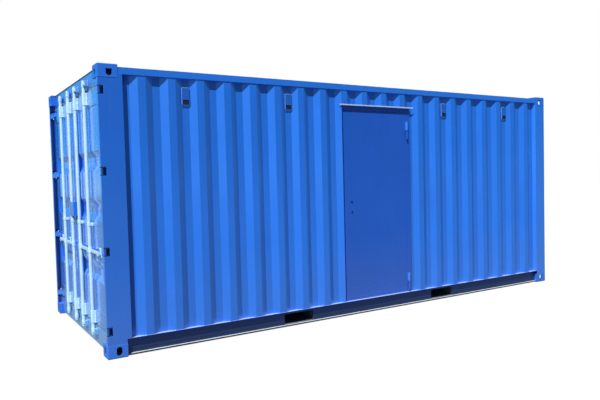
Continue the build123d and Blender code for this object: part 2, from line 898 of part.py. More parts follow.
def side_door_leaf():
    """The flat steel leaf of the personnel door."""
    x0 = x_at(side_door_left + side_jamb_left + side_leaf_gap)
    x1 = x_at(side_door_right - side_jamb_right - side_leaf_gap)
    y0 = y_at(side_door_face)
    y1 = y0 + side_leaf_thickness
    w = side_leaf_sheet
    leaf = block(x0, x1, y0, y1, side_leaf_bottom, side_leaf_top)
    return leaf - block(x0 + w, x1 - w, y0 + w, y1 - w, side_leaf_bottom + w, side_leaf_top - w)


def side_door_lock():
    """Two small round lock fittings near the leaf's free edge."""
    x = x_at(side_door_left + side_jamb_left + side_leaf_gap + lock_rose_from_edge)
    face = y_at(side_door_face)
    roses = []
    for z in lock_rose_places:
        rose = Pos(x, face - lock_rose_height / 2, z) * Rot(X=90) * Cylinder(lock_rose_radius, lock_rose_height)
        roses.append(rose)
    return roses


def write(name, pieces):
    """Each node is one STEP file holding its solids."""
    if not isinstance(pieces, (list, tuple)):
        pieces = [pieces]
    solids = [solid for piece in pieces for solid in piece.solids()]
    export_step(Compound(solids), f"parts/{name}.step")


def mirrored(pieces):
    """Pieces of the right leaf turned into those of the left one."""
    if not isinstance(pieces, (list, tuple)):
        pieces = [pieces]
    return [mirror(piece, about=Plane.XZ) for piece in pieces]


os.makedirs("parts", exist_ok=True)

write("top_corner_fittings", top_corner_fittings())
write("bottom_corner_fittings", bottom_corner_fittings())
write("rear_post_right", rear_post())
write("rear_post_left", mirrored(rear_post()))
write("front_post_right", front_post())
write("front_post_left", mirrored(front_post()))
write("top_side_rails", both_sides(top_side_rail()))
write("bottom_side_rails", both_sides(bottom_side_rail()))
write("door_header", door_header())
write("door_sill", door_sill())
write("front_top_rail", front_top_rail())
write("front_bottom_rail", front_bottom_rail())
write("cross_members", cross_members())
write("fork_pockets", fork_pockets())
write("floor", floor())

rear_part, over_part, front_part = side_wall_parts()
write("side_wall_rear_part", rear_part)
write("side_wall_over_door", over_part)
write("side_wall_front_part", front_part)
write("side_wall_left", mirrored(side_sheet()))
write("front_wall", front_wall())
write("roof", roof())
write("ventilators", ventilators())

write("cargo_hinge_lugs", hinge_lugs())
write("cam_keepers", cam_keepers())

leaf_pieces = {
    "leaf_frame": leaf_frame(),
    "leaf_panel": leaf_panel(),
    "leaf_gasket": leaf_gasket(),
    "hinge_blades": hinge_blades(),
    "bar_guides": bar_guides(),
    "handle_catches": handle_catches(),
}
for name, pieces in leaf_pieces.items():
    write(f"right_{name}", pieces)
    write(f"left_{name}", mirrored(pieces))
write("lock_box", lock_box())

inner_bar, outer_bar = [lock_bar(place) for place in bar_places]
write("lock_bar_1", mirrored(outer_bar))
write("lock_bar_2", mirrored(inner_bar))
write("lock_bar_3", inner_bar)
write("lock_bar_4", outer_bar)

write("side_door_frame", [side_door_frame()] + side_hinge_frame_halves())
write("side_door_leaf", side_door_leaf())
write("side_door_hinges", side_hinge_leaf_halves())
write("side_door_lock", side_door_lock())
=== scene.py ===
import json
import math

import bmesh
import bpy
import numpy as np
from mathutils import Matrix, Vector

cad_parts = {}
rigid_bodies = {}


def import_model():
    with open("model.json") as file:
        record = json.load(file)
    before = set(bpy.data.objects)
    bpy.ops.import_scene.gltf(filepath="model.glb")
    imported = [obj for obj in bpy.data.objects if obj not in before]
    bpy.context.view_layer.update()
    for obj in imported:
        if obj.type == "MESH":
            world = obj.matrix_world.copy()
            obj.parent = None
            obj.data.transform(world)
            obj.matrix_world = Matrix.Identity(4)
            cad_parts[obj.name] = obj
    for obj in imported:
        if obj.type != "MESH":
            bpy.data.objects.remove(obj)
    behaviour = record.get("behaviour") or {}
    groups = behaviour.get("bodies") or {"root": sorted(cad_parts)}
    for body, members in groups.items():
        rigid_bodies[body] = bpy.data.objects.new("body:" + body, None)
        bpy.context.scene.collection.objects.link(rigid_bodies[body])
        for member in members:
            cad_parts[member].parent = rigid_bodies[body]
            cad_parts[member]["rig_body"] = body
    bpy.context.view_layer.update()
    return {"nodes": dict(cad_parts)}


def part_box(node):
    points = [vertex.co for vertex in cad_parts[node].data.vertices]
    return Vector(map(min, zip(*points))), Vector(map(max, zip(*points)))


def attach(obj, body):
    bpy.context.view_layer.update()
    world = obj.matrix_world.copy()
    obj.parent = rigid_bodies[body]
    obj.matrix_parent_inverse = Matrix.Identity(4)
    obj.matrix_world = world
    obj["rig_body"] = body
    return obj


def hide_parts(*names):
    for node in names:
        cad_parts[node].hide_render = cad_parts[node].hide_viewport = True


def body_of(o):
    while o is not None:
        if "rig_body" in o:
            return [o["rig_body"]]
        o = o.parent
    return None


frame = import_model()
scene = bpy.context.scene
scene.view_settings.view_transform = "Standard"


# The camera, fitted to the corner fittings and posts in a 600 by 400 picture. It stands at eye height off the
# corner between the cargo doors and the side with the personnel door.
def linked(name, data):
    """A new object in the scene, with this data."""
    made = bpy.data.objects.new(name, data)
    scene.collection.objects.link(made)
    return made


picture_width, focal_length = 600, 599.8
axis_right_of_middle, axis_below_middle = 18.2, 2.3
camera_data = bpy.data.cameras.new("camera")
camera_data.sensor_width = 36.0
camera_data.lens = focal_length / picture_width * camera_data.sensor_width
camera_data.shift_x = -axis_right_of_middle / picture_width
camera_data.shift_y = axis_below_middle / picture_width
camera_data.clip_end = 500
camera = linked("camera", camera_data)
right = Vector((0.83795, -0.54522, -0.02420))
down = Vector((-0.04451, -0.02407, -0.99872))
ahead = Vector((0.54394, 0.83795, -0.04444))
stand = Matrix.Translation((-4.2833, -6.5910, 1.5744))
camera.matrix_world = stand @ Matrix((right, -down, -ahead)).transposed().to_4x4()
scene.camera = camera


# Outdoor daylight: a fairly high sun to the left of the long side, which it grazes so that the corrugations
# show, and an even sky. Sight lines meet white. Gloss mirrors a pale horizon under a blue sky, bright beyond
# the object and towards the sun, and dim behind the camera.
def srgb(code):
    """The linear colour of an sRGB hex value: each channel c becomes ((c + 0.055) / 1.055) ** 2.4."""
    parts = [int(code[i:i + 2], 16) / 255 for i in (1, 3, 5)]
    return [c / 12.92 if c <= 0.04045 else ((c + 0.055) / 1.055) ** 2.4 for c in parts] + [1.0]


def add(tree, kind, inputs=None, **settings):
    """Adds a node with its settings and links. An input given a node is linked to the first output in use
    there, one given a socket is linked to it, and any other value is set on it."""
    made = tree.nodes.new(kind)
    for key, value in settings.items():
        setattr(made, key, value)
    for key, value in (inputs or {}).items():
        if isinstance(value, bpy.types.Node):
            value = next(socket for socket in value.outputs if socket.enabled)
        if isinstance(value, bpy.types.NodeSocket):
            tree.links.new(value, made.inputs[key])
        else:
            made.inputs[key].default_value = value
    return made


sun_bearing, sun_height = math.radians(50), math.radians(53)
sun_from = Vector((
    -math.sin(sun_bearing) * math.cos(sun_height),
    -math.cos(sun_bearing) * math.cos(sun_height),
    math.sin(sun_height),
))
sun_data = bpy.data.lights.new("sun", "SUN")
sun_data.energy = 5.2
sun_data.angle = math.radians(2)
sun_data.color = (1.0, 0.98, 0.95)
sun = linked("sun", sun_data)
sun.rotation_euler = sun_from.to_track_quat("Z", "Y").to_euler()

diffuse_sky, mirrored_behind, mirrored_ahead, mirrored_by_sun = 0.2, 0.14, 1.0, 1.4
world = bpy.data.worlds.new("pale sky")
world.use_nodes = True
scene.world = world
tree = world.node_tree
tree.nodes.clear()
path = add(tree, "ShaderNodeLightPath").outputs
direction = add(tree, "ShaderNodeTexCoord").outputs["Generated"]
away = add(tree, "ShaderNodeVectorMath", {0: direction, 1: (0.5, 1.0, 0.0)}, operation="DOT_PRODUCT")
far_side = add(tree, "ShaderNodeMapRange", {
    "Value": away, "From Min": -0.6, "From Max": 0.5, "To Min": mirrored_behind, "To Max": mirrored_ahead,
})
towards_sun = add(tree, "ShaderNodeVectorMath", {
    0: direction, 1: (sun_from.x, sun_from.y, 0.0),
}, operation="DOT_PRODUCT")
sun_side = add(tree, "ShaderNodeMapRange", {
    "Value": towards_sun, "From Min": 0.33, "From Max": 0.57, "To Min": 0.0, "To Max": mirrored_by_sun,
})
brightest = add(tree, "ShaderNodeMath", {0: far_side, 1: sun_side}, operation="MAXIMUM")
mirrored = add(tree, "ShaderNodeMath", {0: path["Is Glossy Ray"], 1: brightest}, operation="MULTIPLY")
sight = add(tree, "ShaderNodeMath", {
    0: path["Is Camera Ray"], 1: path["Is Transmission Ray"],
}, operation="MAXIMUM")
plain = add(tree, "ShaderNodeMath", {0: mirrored, 1: sight}, operation="MAXIMUM")
soft = add(tree, "ShaderNodeMath", {0: path["Is Diffuse Ray"], 1: diffuse_sky}, operation="MULTIPLY")
level = add(tree, "ShaderNodeMath", {0: plain, 1: soft}, operation="MAXIMUM")
height = add(tree, "ShaderNodeSeparateXYZ", {"Vector": direction}).outputs["Z"]
upward = add(tree, "ShaderNodeMapRange", {"Value": height, "From Min": -0.04, "From Max": 0.06})
mirrored_sky = add(tree, "ShaderNodeMix", {
    "Factor": upward, "A": srgb("#C4F4FF"), "B": srgb("#61BCFF"),
}, data_type="RGBA")
sky = add(tree, "ShaderNodeMix", {
    "Factor": path["Is Glossy Ray"], "A": srgb("#FFFFFF"), "B": mirrored_sky,
}, data_type="RGBA")
glow = add(tree, "ShaderNodeBackground", {"Color": sky, "Strength": level})
add(tree, "ShaderNodeOutputWorld", {"Surface": glow})


# The ground is a plain pale floor that keeps a faint shadow. Light that bounces off it is that of dull
# ground, so the underside stays dark, and gloss mirrors it a greyish blue.
def blank_material(name):
    """A new material, and its node tree with nothing in it."""
    made = bpy.data.materials.new(name)
    made.use_nodes = True
    made.node_tree.nodes.clear()
    return made, made.node_tree


def shaped(name, points, faces, turn_outward=False):
    """A new object from points and faces, whose faces can be turned outward."""
    mesh = bpy.data.meshes.new(name)
    mesh.from_pydata(points, [], faces)
    if turn_outward:
        shape = bmesh.new()
        shape.from_mesh(mesh)
        bmesh.ops.recalc_face_normals(shape, faces=shape.faces)
        shape.to_mesh(mesh)
        shape.free()
    return linked(name, mesh)


ground_half = 60.0
corners = [(x * ground_half, y * ground_half, 0) for x, y in ((-1, -1), (1, -1), (1, 1), (-1, 1))]
ground = shaped("ground", corners, [(0, 1, 2, 3)])
ground_finish, tree = blank_material("plain pale floor")
path = add(tree, "ShaderNodeLightPath").outputs
seen = add(tree, "ShaderNodeMath", {
    0: path["Is Camera Ray"], 1: path["Is Transmission Ray"],
}, operation="MAXIMUM")
pale = add(tree, "ShaderNodeEmission", {"Color": srgb("#FFFFFF"), "Strength": 1.0})
lit = add(tree, "ShaderNodeBsdfDiffuse", {"Color": srgb("#F2F2F2")})
shown = add(tree, "ShaderNodeMixShader", {0: 0.22, 1: pale, 2: lit})
dull = add(tree, "ShaderNodeBsdfDiffuse", {"Color": srgb("#6A747E")})
under_sky = add(tree, "ShaderNodeEmission", {"Color": srgb("#6C97B4"), "Strength": 1.0})
mirrored_floor = add(tree, "ShaderNodeMixShader", {0: 0.06, 1: under_sky, 2: lit})
unseen = add(tree, "ShaderNodeMixShader", {0: path["Is Glossy Ray"], 1: dull, 2: mirrored_floor})
floor_look = add(tree, "ShaderNodeMixShader", {0: seen, 1: unseen, 2: shown})
add(tree, "ShaderNodeOutputMaterial", {"Surface": floor_look})
ground.data.materials.append(ground_finish)


# Corner fittings: hollow steel castings with a hole in each outer face, under two coats of semi-gloss blue
# container paint. Castings are rougher than plate, and chains and twistlocks rub them bare first. Inside, the
# paint is darkened to near black as painted shade in the cavity.
paint_blue, dust_grey, bare_rust, underseal_shade_black = "#1C70E0", "#8B8F96", "#6E4A3A", "#0A0D14"
half_length, half_width, tall = 3.029, 1.219, 2.591


def container_paint(
    name, colour=paint_blue, dust=0.22, wear=0.35, gloss=0.34, coat=0, web_painted_shade=None, box=None, dust_and_highlight_on_tops=0,
):
    """Semi-gloss sprayed paint. Wear follows edges found by rounding the normal, broken up by noise, and dust
    fades out with height. coat is a thick glossy top coat. web_painted_shade gives the colours of a rail's
    face
    behind its flanges, high and low: dark for road dirt and painted shade, lighter above the edge of the
    flange's shadow and darker below it in the sun, so that the shadow's edge is painted out; under the lower
    flange's top the paint is black, for underseal and painted shade. box is the centre and half size of a
    casting, whose inside is painted near black as painted shade in its cavity. dust_and_highlight_on_tops
    paints upward faces pale, as dust and as a painted highlight where they are lit. Tone changes over 0.8 m,
    the spray's waves are 200 mm apart, streaks 40 mm and chips 26 mm."""
    made, tree = blank_material(name)
    place = add(tree, "ShaderNodeTexCoord").outputs["Object"]
    split = add(tree, "ShaderNodeSeparateXYZ", {"Vector": place}).outputs
    normal = add(tree, "ShaderNodeNewGeometry").outputs["Normal"]
    broad = add(tree, "ShaderNodeTexNoise", {"Vector": place, "Scale": 1.3, "Detail": 3.0, "Roughness": 0.6})
    fine = add(tree, "ShaderNodeTexNoise", {"Vector": place, "Scale": 38.0, "Detail": 5.0, "Roughness": 0.65})
    stretched = add(tree, "ShaderNodeMapping", {"Vector": place, "Scale": (26.0, 26.0, 1.1)})
    streaks = add(tree, "ShaderNodeTexNoise", {"Vector": stretched, "Scale": 1.0, "Detail": 4.0})
    uneven = add(tree, "ShaderNodeMapRange", {
        "Value": broad, "From Min": 0.3, "From Max": 0.7, "To Min": 0.94, "To Max": 1.05,
    })
    tint = add(tree, "ShaderNodeMix", {
        "Factor": 1.0, "A": srgb(colour), "B": uneven,
    }, data_type="RGBA", blend_type="MULTIPLY")
    run = add(tree, "ShaderNodeMapRange", {
        "Value": streaks, "From Min": 0.55, "From Max": 0.8, "To Min": 0.0, "To Max": 0.1,
    })
    streaked = add(tree, "ShaderNodeMix", {"Factor": run, "A": tint, "B": srgb("#4F7FC8")}, data_type="RGBA")
    low = add(tree, "ShaderNodeMapRange", {
        "Value": split["Z"], "From Min": 0.1, "From Max": 0.9, "To Min": 1.0, "To Max": 0.1,
    })
    grit = add(tree, "ShaderNodeMath", {0: low, 1: fine}, operation="MULTIPLY")
    dusty = add(tree, "ShaderNodeMath", {0: grit, 1: dust}, operation="MULTIPLY")
    result = add(tree, "ShaderNodeMix", {
        "Factor": dusty, "A": streaked, "B": srgb(dust_grey),
    }, data_type="RGBA")
    # Painted shade: the web behind the flanges is dark, painted lighter above the edge of the flange's shadow
    # and darker below it in the sun, so that the shadow's edge is painted out.
    if web_painted_shade:
        web_face, shade_foot, shade_head, foot_top = 1.1755, 0.062, 0.075, 0.022
        across = add(tree, "ShaderNodeMath", {0: split["Y"]}, operation="ABSOLUTE")
        behind = add(tree, "ShaderNodeMath", {0: across, 1: web_face}, operation="LESS_THAN")
        flange_shadow_mask = add(tree, "ShaderNodeMapRange", {
            "Value": split["Z"], "From Min": shade_foot, "From Max": shade_head,
        })
        web_shade_evened = add(tree, "ShaderNodeMix", {
            "Factor": flange_shadow_mask, "A": srgb(web_painted_shade[1]), "B": srgb(web_painted_shade[0]),
        }, data_type="RGBA")
        result = add(tree, "ShaderNodeMix", {
            "Factor": behind, "A": result, "B": web_shade_evened,
        }, data_type="RGBA")
        # Below the lower flange's top the rail is painted black: underseal, and painted shade under the
        # flange.
        foot_shade_mask = add(tree, "ShaderNodeMath", {0: split["Z"], 1: foot_top}, operation="LESS_THAN")
        result = add(tree, "ShaderNodeMix", {
            "Factor": foot_shade_mask, "A": result, "B": srgb(underseal_shade_black),
        }, data_type="RGBA")
    # Upward faces are painted pale: dust, and a painted highlight on the lit flange tops.
    if dust_and_highlight_on_tops:
        turned_up = add(tree, "ShaderNodeSeparateXYZ", {"Vector": normal}).outputs["Z"]
        less_higher = add(tree, "ShaderNodeMapRange", {
            "Value": split["Z"], "From Min": 0.03, "From Max": 0.16, "To Min": 1.0, "To Max": 0.65,
        })
        most = add(tree, "ShaderNodeMath", {0: less_higher, 1: dust_and_highlight_on_tops}, operation="MULTIPLY")
        pale_tops = add(tree, "ShaderNodeMapRange", {
            "Value": turned_up, "From Min": 0.6, "From Max": 0.95, "To Min": 0.0, "To Max": most,
        })
        result = add(tree, "ShaderNodeMix", {
            "Factor": pale_tops, "A": result, "B": srgb("#D2E4F2"),
        }, data_type="RGBA")
    # Painted shade: deeper than 4 mm inside the casting's outer faces, the colour darkens to near black.
    if box:
        raised = add(tree, "ShaderNodeVectorMath", {0: place, 1: (0, 0, -tall / 2)}, operation="ADD")
        folded_over = add(tree, "ShaderNodeVectorMath", {0: raised}, operation="ABSOLUTE")
        from_middle = add(tree, "ShaderNodeVectorMath", {0: folded_over, 1: box[0]}, operation="SUBTRACT")
        off_middle = add(tree, "ShaderNodeVectorMath", {0: from_middle}, operation="ABSOLUTE")
        below = add(tree, "ShaderNodeVectorMath", {0: box[1], 1: off_middle}, operation="SUBTRACT")
        depth = add(tree, "ShaderNodeSeparateXYZ", {"Vector": below}).outputs
        nearer = add(tree, "ShaderNodeMath", {0: depth["X"], 1: depth["Y"]}, operation="MINIMUM")
        nearest = add(tree, "ShaderNodeMath", {0: nearer, 1: depth["Z"]}, operation="MINIMUM")
        deep = add(tree, "ShaderNodeMapRange", {"Value": nearest, "From Min": 0.004, "From Max": 0.016})
        result = add(tree, "ShaderNodeMix", {
            "Factor": deep, "A": result, "B": srgb("#0B0D12"),
        }, data_type="RGBA")
    rounded = add(tree, "ShaderNodeBevel", {"Radius": 0.005}, samples=4)
    aligned = add(tree, "ShaderNodeVectorMath", {0: rounded, 1: normal}, operation="DOT_PRODUCT")
    edge = add(tree, "ShaderNodeMapRange", {"Value": aligned, "From Min": 0.99, "From Max": 0.8})
    broken = add(tree, "ShaderNodeMapRange", {
        "Value": fine, "From Min": 0.53, "From Max": 0.62, "To Min": 0.0, "To Max": wear,
    })
    worn = add(tree, "ShaderNodeMath", {0: edge, 1: broken}, operation="MULTIPLY")
    result = add(tree, "ShaderNodeMix", {"Factor": worn, "A": result, "B": srgb(bare_rust)}, data_type="RGBA")
    rough = add(tree, "ShaderNodeMapRange", {
        "Value": fine, "From Min": 0.3, "From Max": 0.7, "To Min": gloss - 0.05, "To Max": gloss + 0.08,
    })
    waves = add(tree, "ShaderNodeTexNoise", {"Vector": place, "Scale": 5.0, "Detail": 2.0})
    relief = add(tree, "ShaderNodeMath", {0: waves, 1: fine}, operation="ADD")
    bump = add(tree, "ShaderNodeBump", {"Height": relief, "Distance": 0.001, "Strength": 0.3})
    shader = add(tree, "ShaderNodeBsdfPrincipled", {
        "Base Color": result, "Roughness": rough, "Normal": bump, "Specular IOR Level": 0.5, "IOR": 1.5,
        "Coat Weight": coat, "Coat Roughness": 0.12,
    })
    add(tree, "ShaderNodeOutputMaterial", {"Surface": shader})
    return made


def dressed(node, finish, slot="blue_paint", edge=0.002, segments=2):
    """A CAD node's shape, with its doubles merged and its flat faces made whole, so that its sharp edges can
    be rounded as bending, casting or paint rounds them."""
    mesh = frame["nodes"][node].data.copy()
    shape = bmesh.new()
    shape.from_mesh(mesh)
    bmesh.ops.remove_doubles(shape, verts=shape.verts, dist=1e-5)
    bmesh.ops.dissolve_limit(shape, angle_limit=math.radians(1), verts=shape.verts, edges=shape.edges)
    for face in shape.faces:
        face.smooth = True
    shape.to_mesh(mesh)
    shape.free()
    mesh.materials.clear()
    mesh.materials.append(finish)
    piece = linked(f"{node}_in_{slot}", mesh)
    rounding = piece.modifiers.new("rounded edges", "BEVEL")
    rounding.width = edge
    rounding.segments = segments
    rounding.limit_method = "ANGLE"
    rounding.angle_limit = math.radians(35)
    flats = piece.modifiers.new("flat flats", "WEIGHTED_NORMAL")
    flats.weight = 50
    flats.keep_sharp = True
    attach(piece, body_of(frame["nodes"][node])[0])
    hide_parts(node)


fitting_long, fitting_wide, fitting_tall = 0.178, 0.162, 0.118
half_fitting = np.array([fitting_long, fitting_wide, fitting_tall]) / 2
fitting_middle = np.array([half_length, half_width, tall / 2]) - half_fitting
casting_paint = container_paint(
    "blue paint on cast steel", wear=0.75, gloss=0.42, box=(fitting_middle.tolist(), half_fitting.tolist()),
)
for node in ("top_corner_fittings", "bottom_corner_fittings"):
    dressed(node, casting_paint, edge=0.003)


# Corner posts: 6 mm plate folded in a press brake, the rear ones closed by a channel and cut out for the
# hinges. They are welded to the fittings all round. The front posts, like the top rails, are painted a
# lighter
# blue: painted light, as that end is lit brighter.
post_paint = container_paint("semi-gloss blue paint on pressed steel", colour="#1A68D6", coat=1.0)
bright_paint = container_paint("lighter blue paint on pressed steel, painted light", colour="#1D74E6", coat=1.0)
for end, finish in (("rear", post_paint), ("front", bright_paint)):
    for side in ("right", "left"):
        dressed(f"{end}_post_{side}", finish, edge=0.003)


def carried(name, profile, paths, across, up=(0, 0, 1), swell=0.0, ripple=0.0):
    """A closed profile carried along each path. Corner j of ring i stands at
    path[i] + across * a[j] + up * b[j], where (a, b) is the profile. With swell, its size goes as
    1 + swell * sin(2 pi s / ripple) at the distance s."""
    profile, across, up = np.asarray(profile, float), np.asarray(across, float), np.asarray(up, float)
    offsets = profile[:, :1] * across + profile[:, 1:] * up
    points, faces, start, k = [], [], 0, len(profile)
    for path in paths:
        path = np.asarray(path, float)
        along = np.concatenate([[0], np.cumsum(np.linalg.norm(np.diff(path, axis=0), axis=1))])
        size = 1 + swell * np.sin(2 * np.pi * along / ripple) if swell else np.ones(len(path))
        points.append((path[:, None] + offsets[None] * size[:, None, None]).reshape(-1, 3))
        index = start + np.arange(len(path) * k).reshape(len(path), k)
        onward = np.roll(index, -1, axis=1)
        quads = np.stack([index[:-1], onward[:-1], onward[1:], index[1:]], axis=-1).reshape(-1, 4)
        faces += quads.tolist() + [index[0][::-1].tolist(), index[-1].tolist()]
        start += len(path) * k
    return shaped(name, np.vstack(points).tolist(), faces, turn_outward=True)


def settled(piece, finish, body, slot, *nodes, smooth=True):
    """Gives a new piece its finish, the body it rides on and the nodes it stands for.
    slot is not used.
    """
    piece.data.materials.append(finish)
    piece.data.polygons.foreach_set("use_smooth", [smooth] * len(piece.data.polygons))
    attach(piece, body)
    if nodes:
        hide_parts(*nodes)


def round_section(radius, sides=6):
    """The corners of a small round section: radius at the angle 2 pi k / sides."""
    angle = 2 * np.pi * np.arange(sides) / sides
    return radius * np.column_stack([np.cos(angle), np.sin(angle)])


def stepped(points, step=0.008):
    """A polyline with a point about every step, where straight runs are divided evenly."""
    points = np.asarray(points, float)
    parts = [
        a + (b - a) * np.linspace(0, 1, max(2, int(np.linalg.norm(b - a) / step)), endpoint=False)[:, None]
        for a, b in zip(points[:-1], points[1:])
    ]
    return np.vstack(parts + [points[-1:]])


weld_paint = container_paint("blue paint over weld beads", wear=0.2, gloss=0.3)
bead_radius, bead_swell, bead_ripple = 0.0035, 0.12, 0.024
face_in, side_in, bead_reach = 0.003, 0.0025, 0.05
loops = []
for end in (-1, 1):
    for side in (-1, 1):
        for z in (fitting_tall, tall - fitting_tall):
            x0, x1 = end * (half_length - face_in), end * (half_length - fitting_long)
            y0, y1 = side * (half_width - side_in), side * (half_width - bead_reach)
            loops.append(stepped([(x0, y1, z), (x0, y0, z), (x1, y0, z)]))
beads = carried(
    "post_welds", round_section(bead_radius), loops, (0, 0, 1), (0.7, 0.7, 0), bead_swell, bead_ripple,
)
settled(beads, weld_paint, "container", "blue_paint")


# Side rails: a square tube along the top and an outward channel along the bottom, whose edges and fork pocket
# mouths are left rough. The channel's web is dark for road dirt and painted shade, painted lighter in the
# flange's shadow and darker below it, so that the shadow's edge is painted out. Upward faces are painted
# pale, as dust and as a painted highlight on the lit flange tops. Black underseal covers the lower flange's
# edge, drawn taller than the edge and painted on below the flange's top, as underseal and as painted shade.
# The top rails take the lighter blue: painted light.
dressed("top_side_rails", bright_paint, edge=0.003)
dressed("front_top_rail", bright_paint, edge=0.003)
rail_paint = container_paint(
    "blue paint on a road-dirty rail", dust=0.5, web_painted_shade=("#2C4180", "#1E2B4D"), dust_and_highlight_on_tops=0.9,
)
dressed("bottom_side_rails", rail_paint, edge=0.0015)
dressed("front_bottom_rail", rail_paint, edge=0.0015)
near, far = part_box("bottom_side_rails")
flange_edge, flange_top, underseal_low = half_width - 0.021, 0.0214, 0.008
# The strip stands taller than the flange's edge, black as underseal and as painted shade under it.
underseal_and_shade = container_paint(
    "black underseal along the flange", colour=underseal_shade_black, dust=0.05, wear=0.0, gloss=0.6,
)
run_off = [
    (0, underseal_low + 0.002), (0.0015, underseal_low), (0.003, underseal_low + 0.003), (0.0025, flange_top),
    (0, flange_top),
]
for side, name in ((-1, "right"), (1, "left")):
    edge_run = stepped([(x, side * flange_edge, 0) for x in (near.x + 0.001, far.x - 0.001)], 0.1)
    strip = carried(f"{name}_rail_underseal", run_off, [edge_run], (0, side, 0))
    settled(strip, underseal_and_shade, "container", "underframe_paint", smooth=False)


# Corrugated walls: 2 mm weathering steel folded in a press to trapezoids, 278 mm apart on the long sides and
# 250 mm on the front, with a bend radius that the eye reads as a soft edge, and slightly drawn by the welds.
side_pitch, side_crest, side_slope, side_deep = 0.278, 0.072, 0.068, 0.036
front_pitch, front_crest, front_slope, front_deep = 0.250, 0.110, 0.018, 0.0456
side_crest_in, front_crest_in = 0.009, 0.008
side_rear_end, side_front_end = -2.812, 2.817
bend_radius, sheet_thickness, set_back = 0.012, 0.002, 0.0012
sheet_weld_radius, sheet_weld_step, sheet_weld_ripple = 0.003, 0.012, 0.036


def folded(points, radius, steps=4):
    """A polyline whose corners become arcs: each corner p turns into (1-s)^2 a + 2 s (1-s) p + s^2 b, where a
    and b lie one tangent length before and after it."""
    points = np.asarray(points, float)
    run = np.diff(points, axis=0)
    run /= np.linalg.norm(run, axis=1)[:, None]
    turn = np.arccos(np.clip((run[:-1] * run[1:]).sum(1), -1, 1))
    back = (radius * np.tan(turn / 2))[:, None]
    corner = points[1:-1]
    before, after = corner - run[:-1] * back, corner + run[1:] * back
    s = np.linspace(0, 1, steps + 1)[None, :, None]
    arcs = (1 - s) ** 2 * before[:, None] + 2 * s * (1 - s) * corner[:, None] + s ** 2 * after[:, None]
    return np.vstack([points[:1], arcs.reshape(-1, 2), points[-1:]])


def trapezoids(start, end, pitch, crest, slope, deep):
    """Path of a sheet from start to end, (distance, depth) with crests at depth 0, evenly placed about 0."""
    reach = min(-start, end) - crest / 2 - slope
    middles = (np.arange(-int(reach / pitch + 0.5), int(reach / pitch + 0.5)) + 0.5) * pitch
    across = np.array([-crest / 2 - slope, -crest / 2, crest / 2, crest / 2 + slope])
    distance = (middles[:, None] + across).ravel()
    depth = np.tile([deep, 0, 0, deep], len(middles))
    corners = np.vstack([[[start, deep]], np.column_stack([distance, depth]), [[end, deep]]])
    return folded(corners, bend_radius)


def between(path, low, high):
    """The part of a path whose first coordinate lies from low to high, with its ends cut to fit."""
    inside = path[(path[:, 0] > low) & (path[:, 0] < high)]
    ends = [[d, np.interp(d, path[:, 0], path[:, 1])] for d in (low, high)]
    return np.vstack([ends[:1], inside, ends[1:]])


def grid_mesh(name, *grids):
    """A mesh from (n, m, 3) arrays of points, one quad to each cell."""
    points, faces, start = [], [], 0
    for grid in grids:
        n, m = grid.shape[:2]
        index = start + np.arange(n * m).reshape(n, m)
        cells = np.stack([index[:-1, :-1], index[1:, :-1], index[1:, 1:], index[:-1, 1:]], axis=-1)
        faces.append(cells.reshape(-1, 4))
        points.append(grid.reshape(-1, 3))
        start += n * m
    return shaped(name, np.vstack(points).tolist(), np.vstack(faces).tolist())


def drawn(distance, height, size=0.0011):
    """How far weld heat pulls a sheet out of flat: a few slow waves in both directions."""
    return size * (
        np.sin(2.3 * distance + 1.7 * height) * 0.5
        + np.sin(7.1 * distance - 2.9 * height + 1.0) * 0.3
        + np.sin(13.7 * distance + 5.3 * height + 2.0) * 0.2
    )


def thicken(piece, finish, body, node):
    """Gives a sheet its thickness behind the face, and normals weighted by area, so that its cut edges don't
    darken the flats beside them."""
    solid = piece.modifiers.new("thickness", "SOLIDIFY")
    solid.thickness = sheet_thickness
    solid.offset = -1
    piece.modifiers.new("flat flats", "WEIGHTED_NORMAL").weight = 50
    settled(piece, finish, body, "blue_paint", node)


wall_paint = container_paint("blue paint on corrugated sheet", dust=0.16, wear=0.1, coat=0.7)
side_path = trapezoids(side_rear_end, side_front_end, side_pitch, side_crest, side_slope, side_deep)
welds = []
for node, side in (
    ("side_wall_rear_part", -1), ("side_wall_over_door", -1), ("side_wall_front_part", -1),
    ("side_wall_left", 1),
):
    near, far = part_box(node)
    path = between(side_path, near.x, far.x)
    heights = np.linspace(near.z, far.z, max(4, int((far.z - near.z) / 0.11)))
    distance, height = np.meshgrid(path[:, 0], heights, indexing="ij")
    inward = side_crest_in + path[:, 1][:, None] + drawn(distance, height) + set_back
    points = np.stack([distance, side * (half_width - inward), height], axis=-1)
    if side > 0:
        points = points[::-1]
    sheet = grid_mesh(node.replace("side_wall", "corrugated_side"), points)
    thicken(sheet, wall_paint, "container", node)
    outer = side * (half_width - side_crest_in - path[:, 1])
    for z in (near.z, far.z) if node != "side_wall_over_door" else (far.z,):
        edge_run = np.column_stack([path[:, 0], outer, np.full(len(path), z)])
        welds.append(stepped(edge_run, sheet_weld_step))

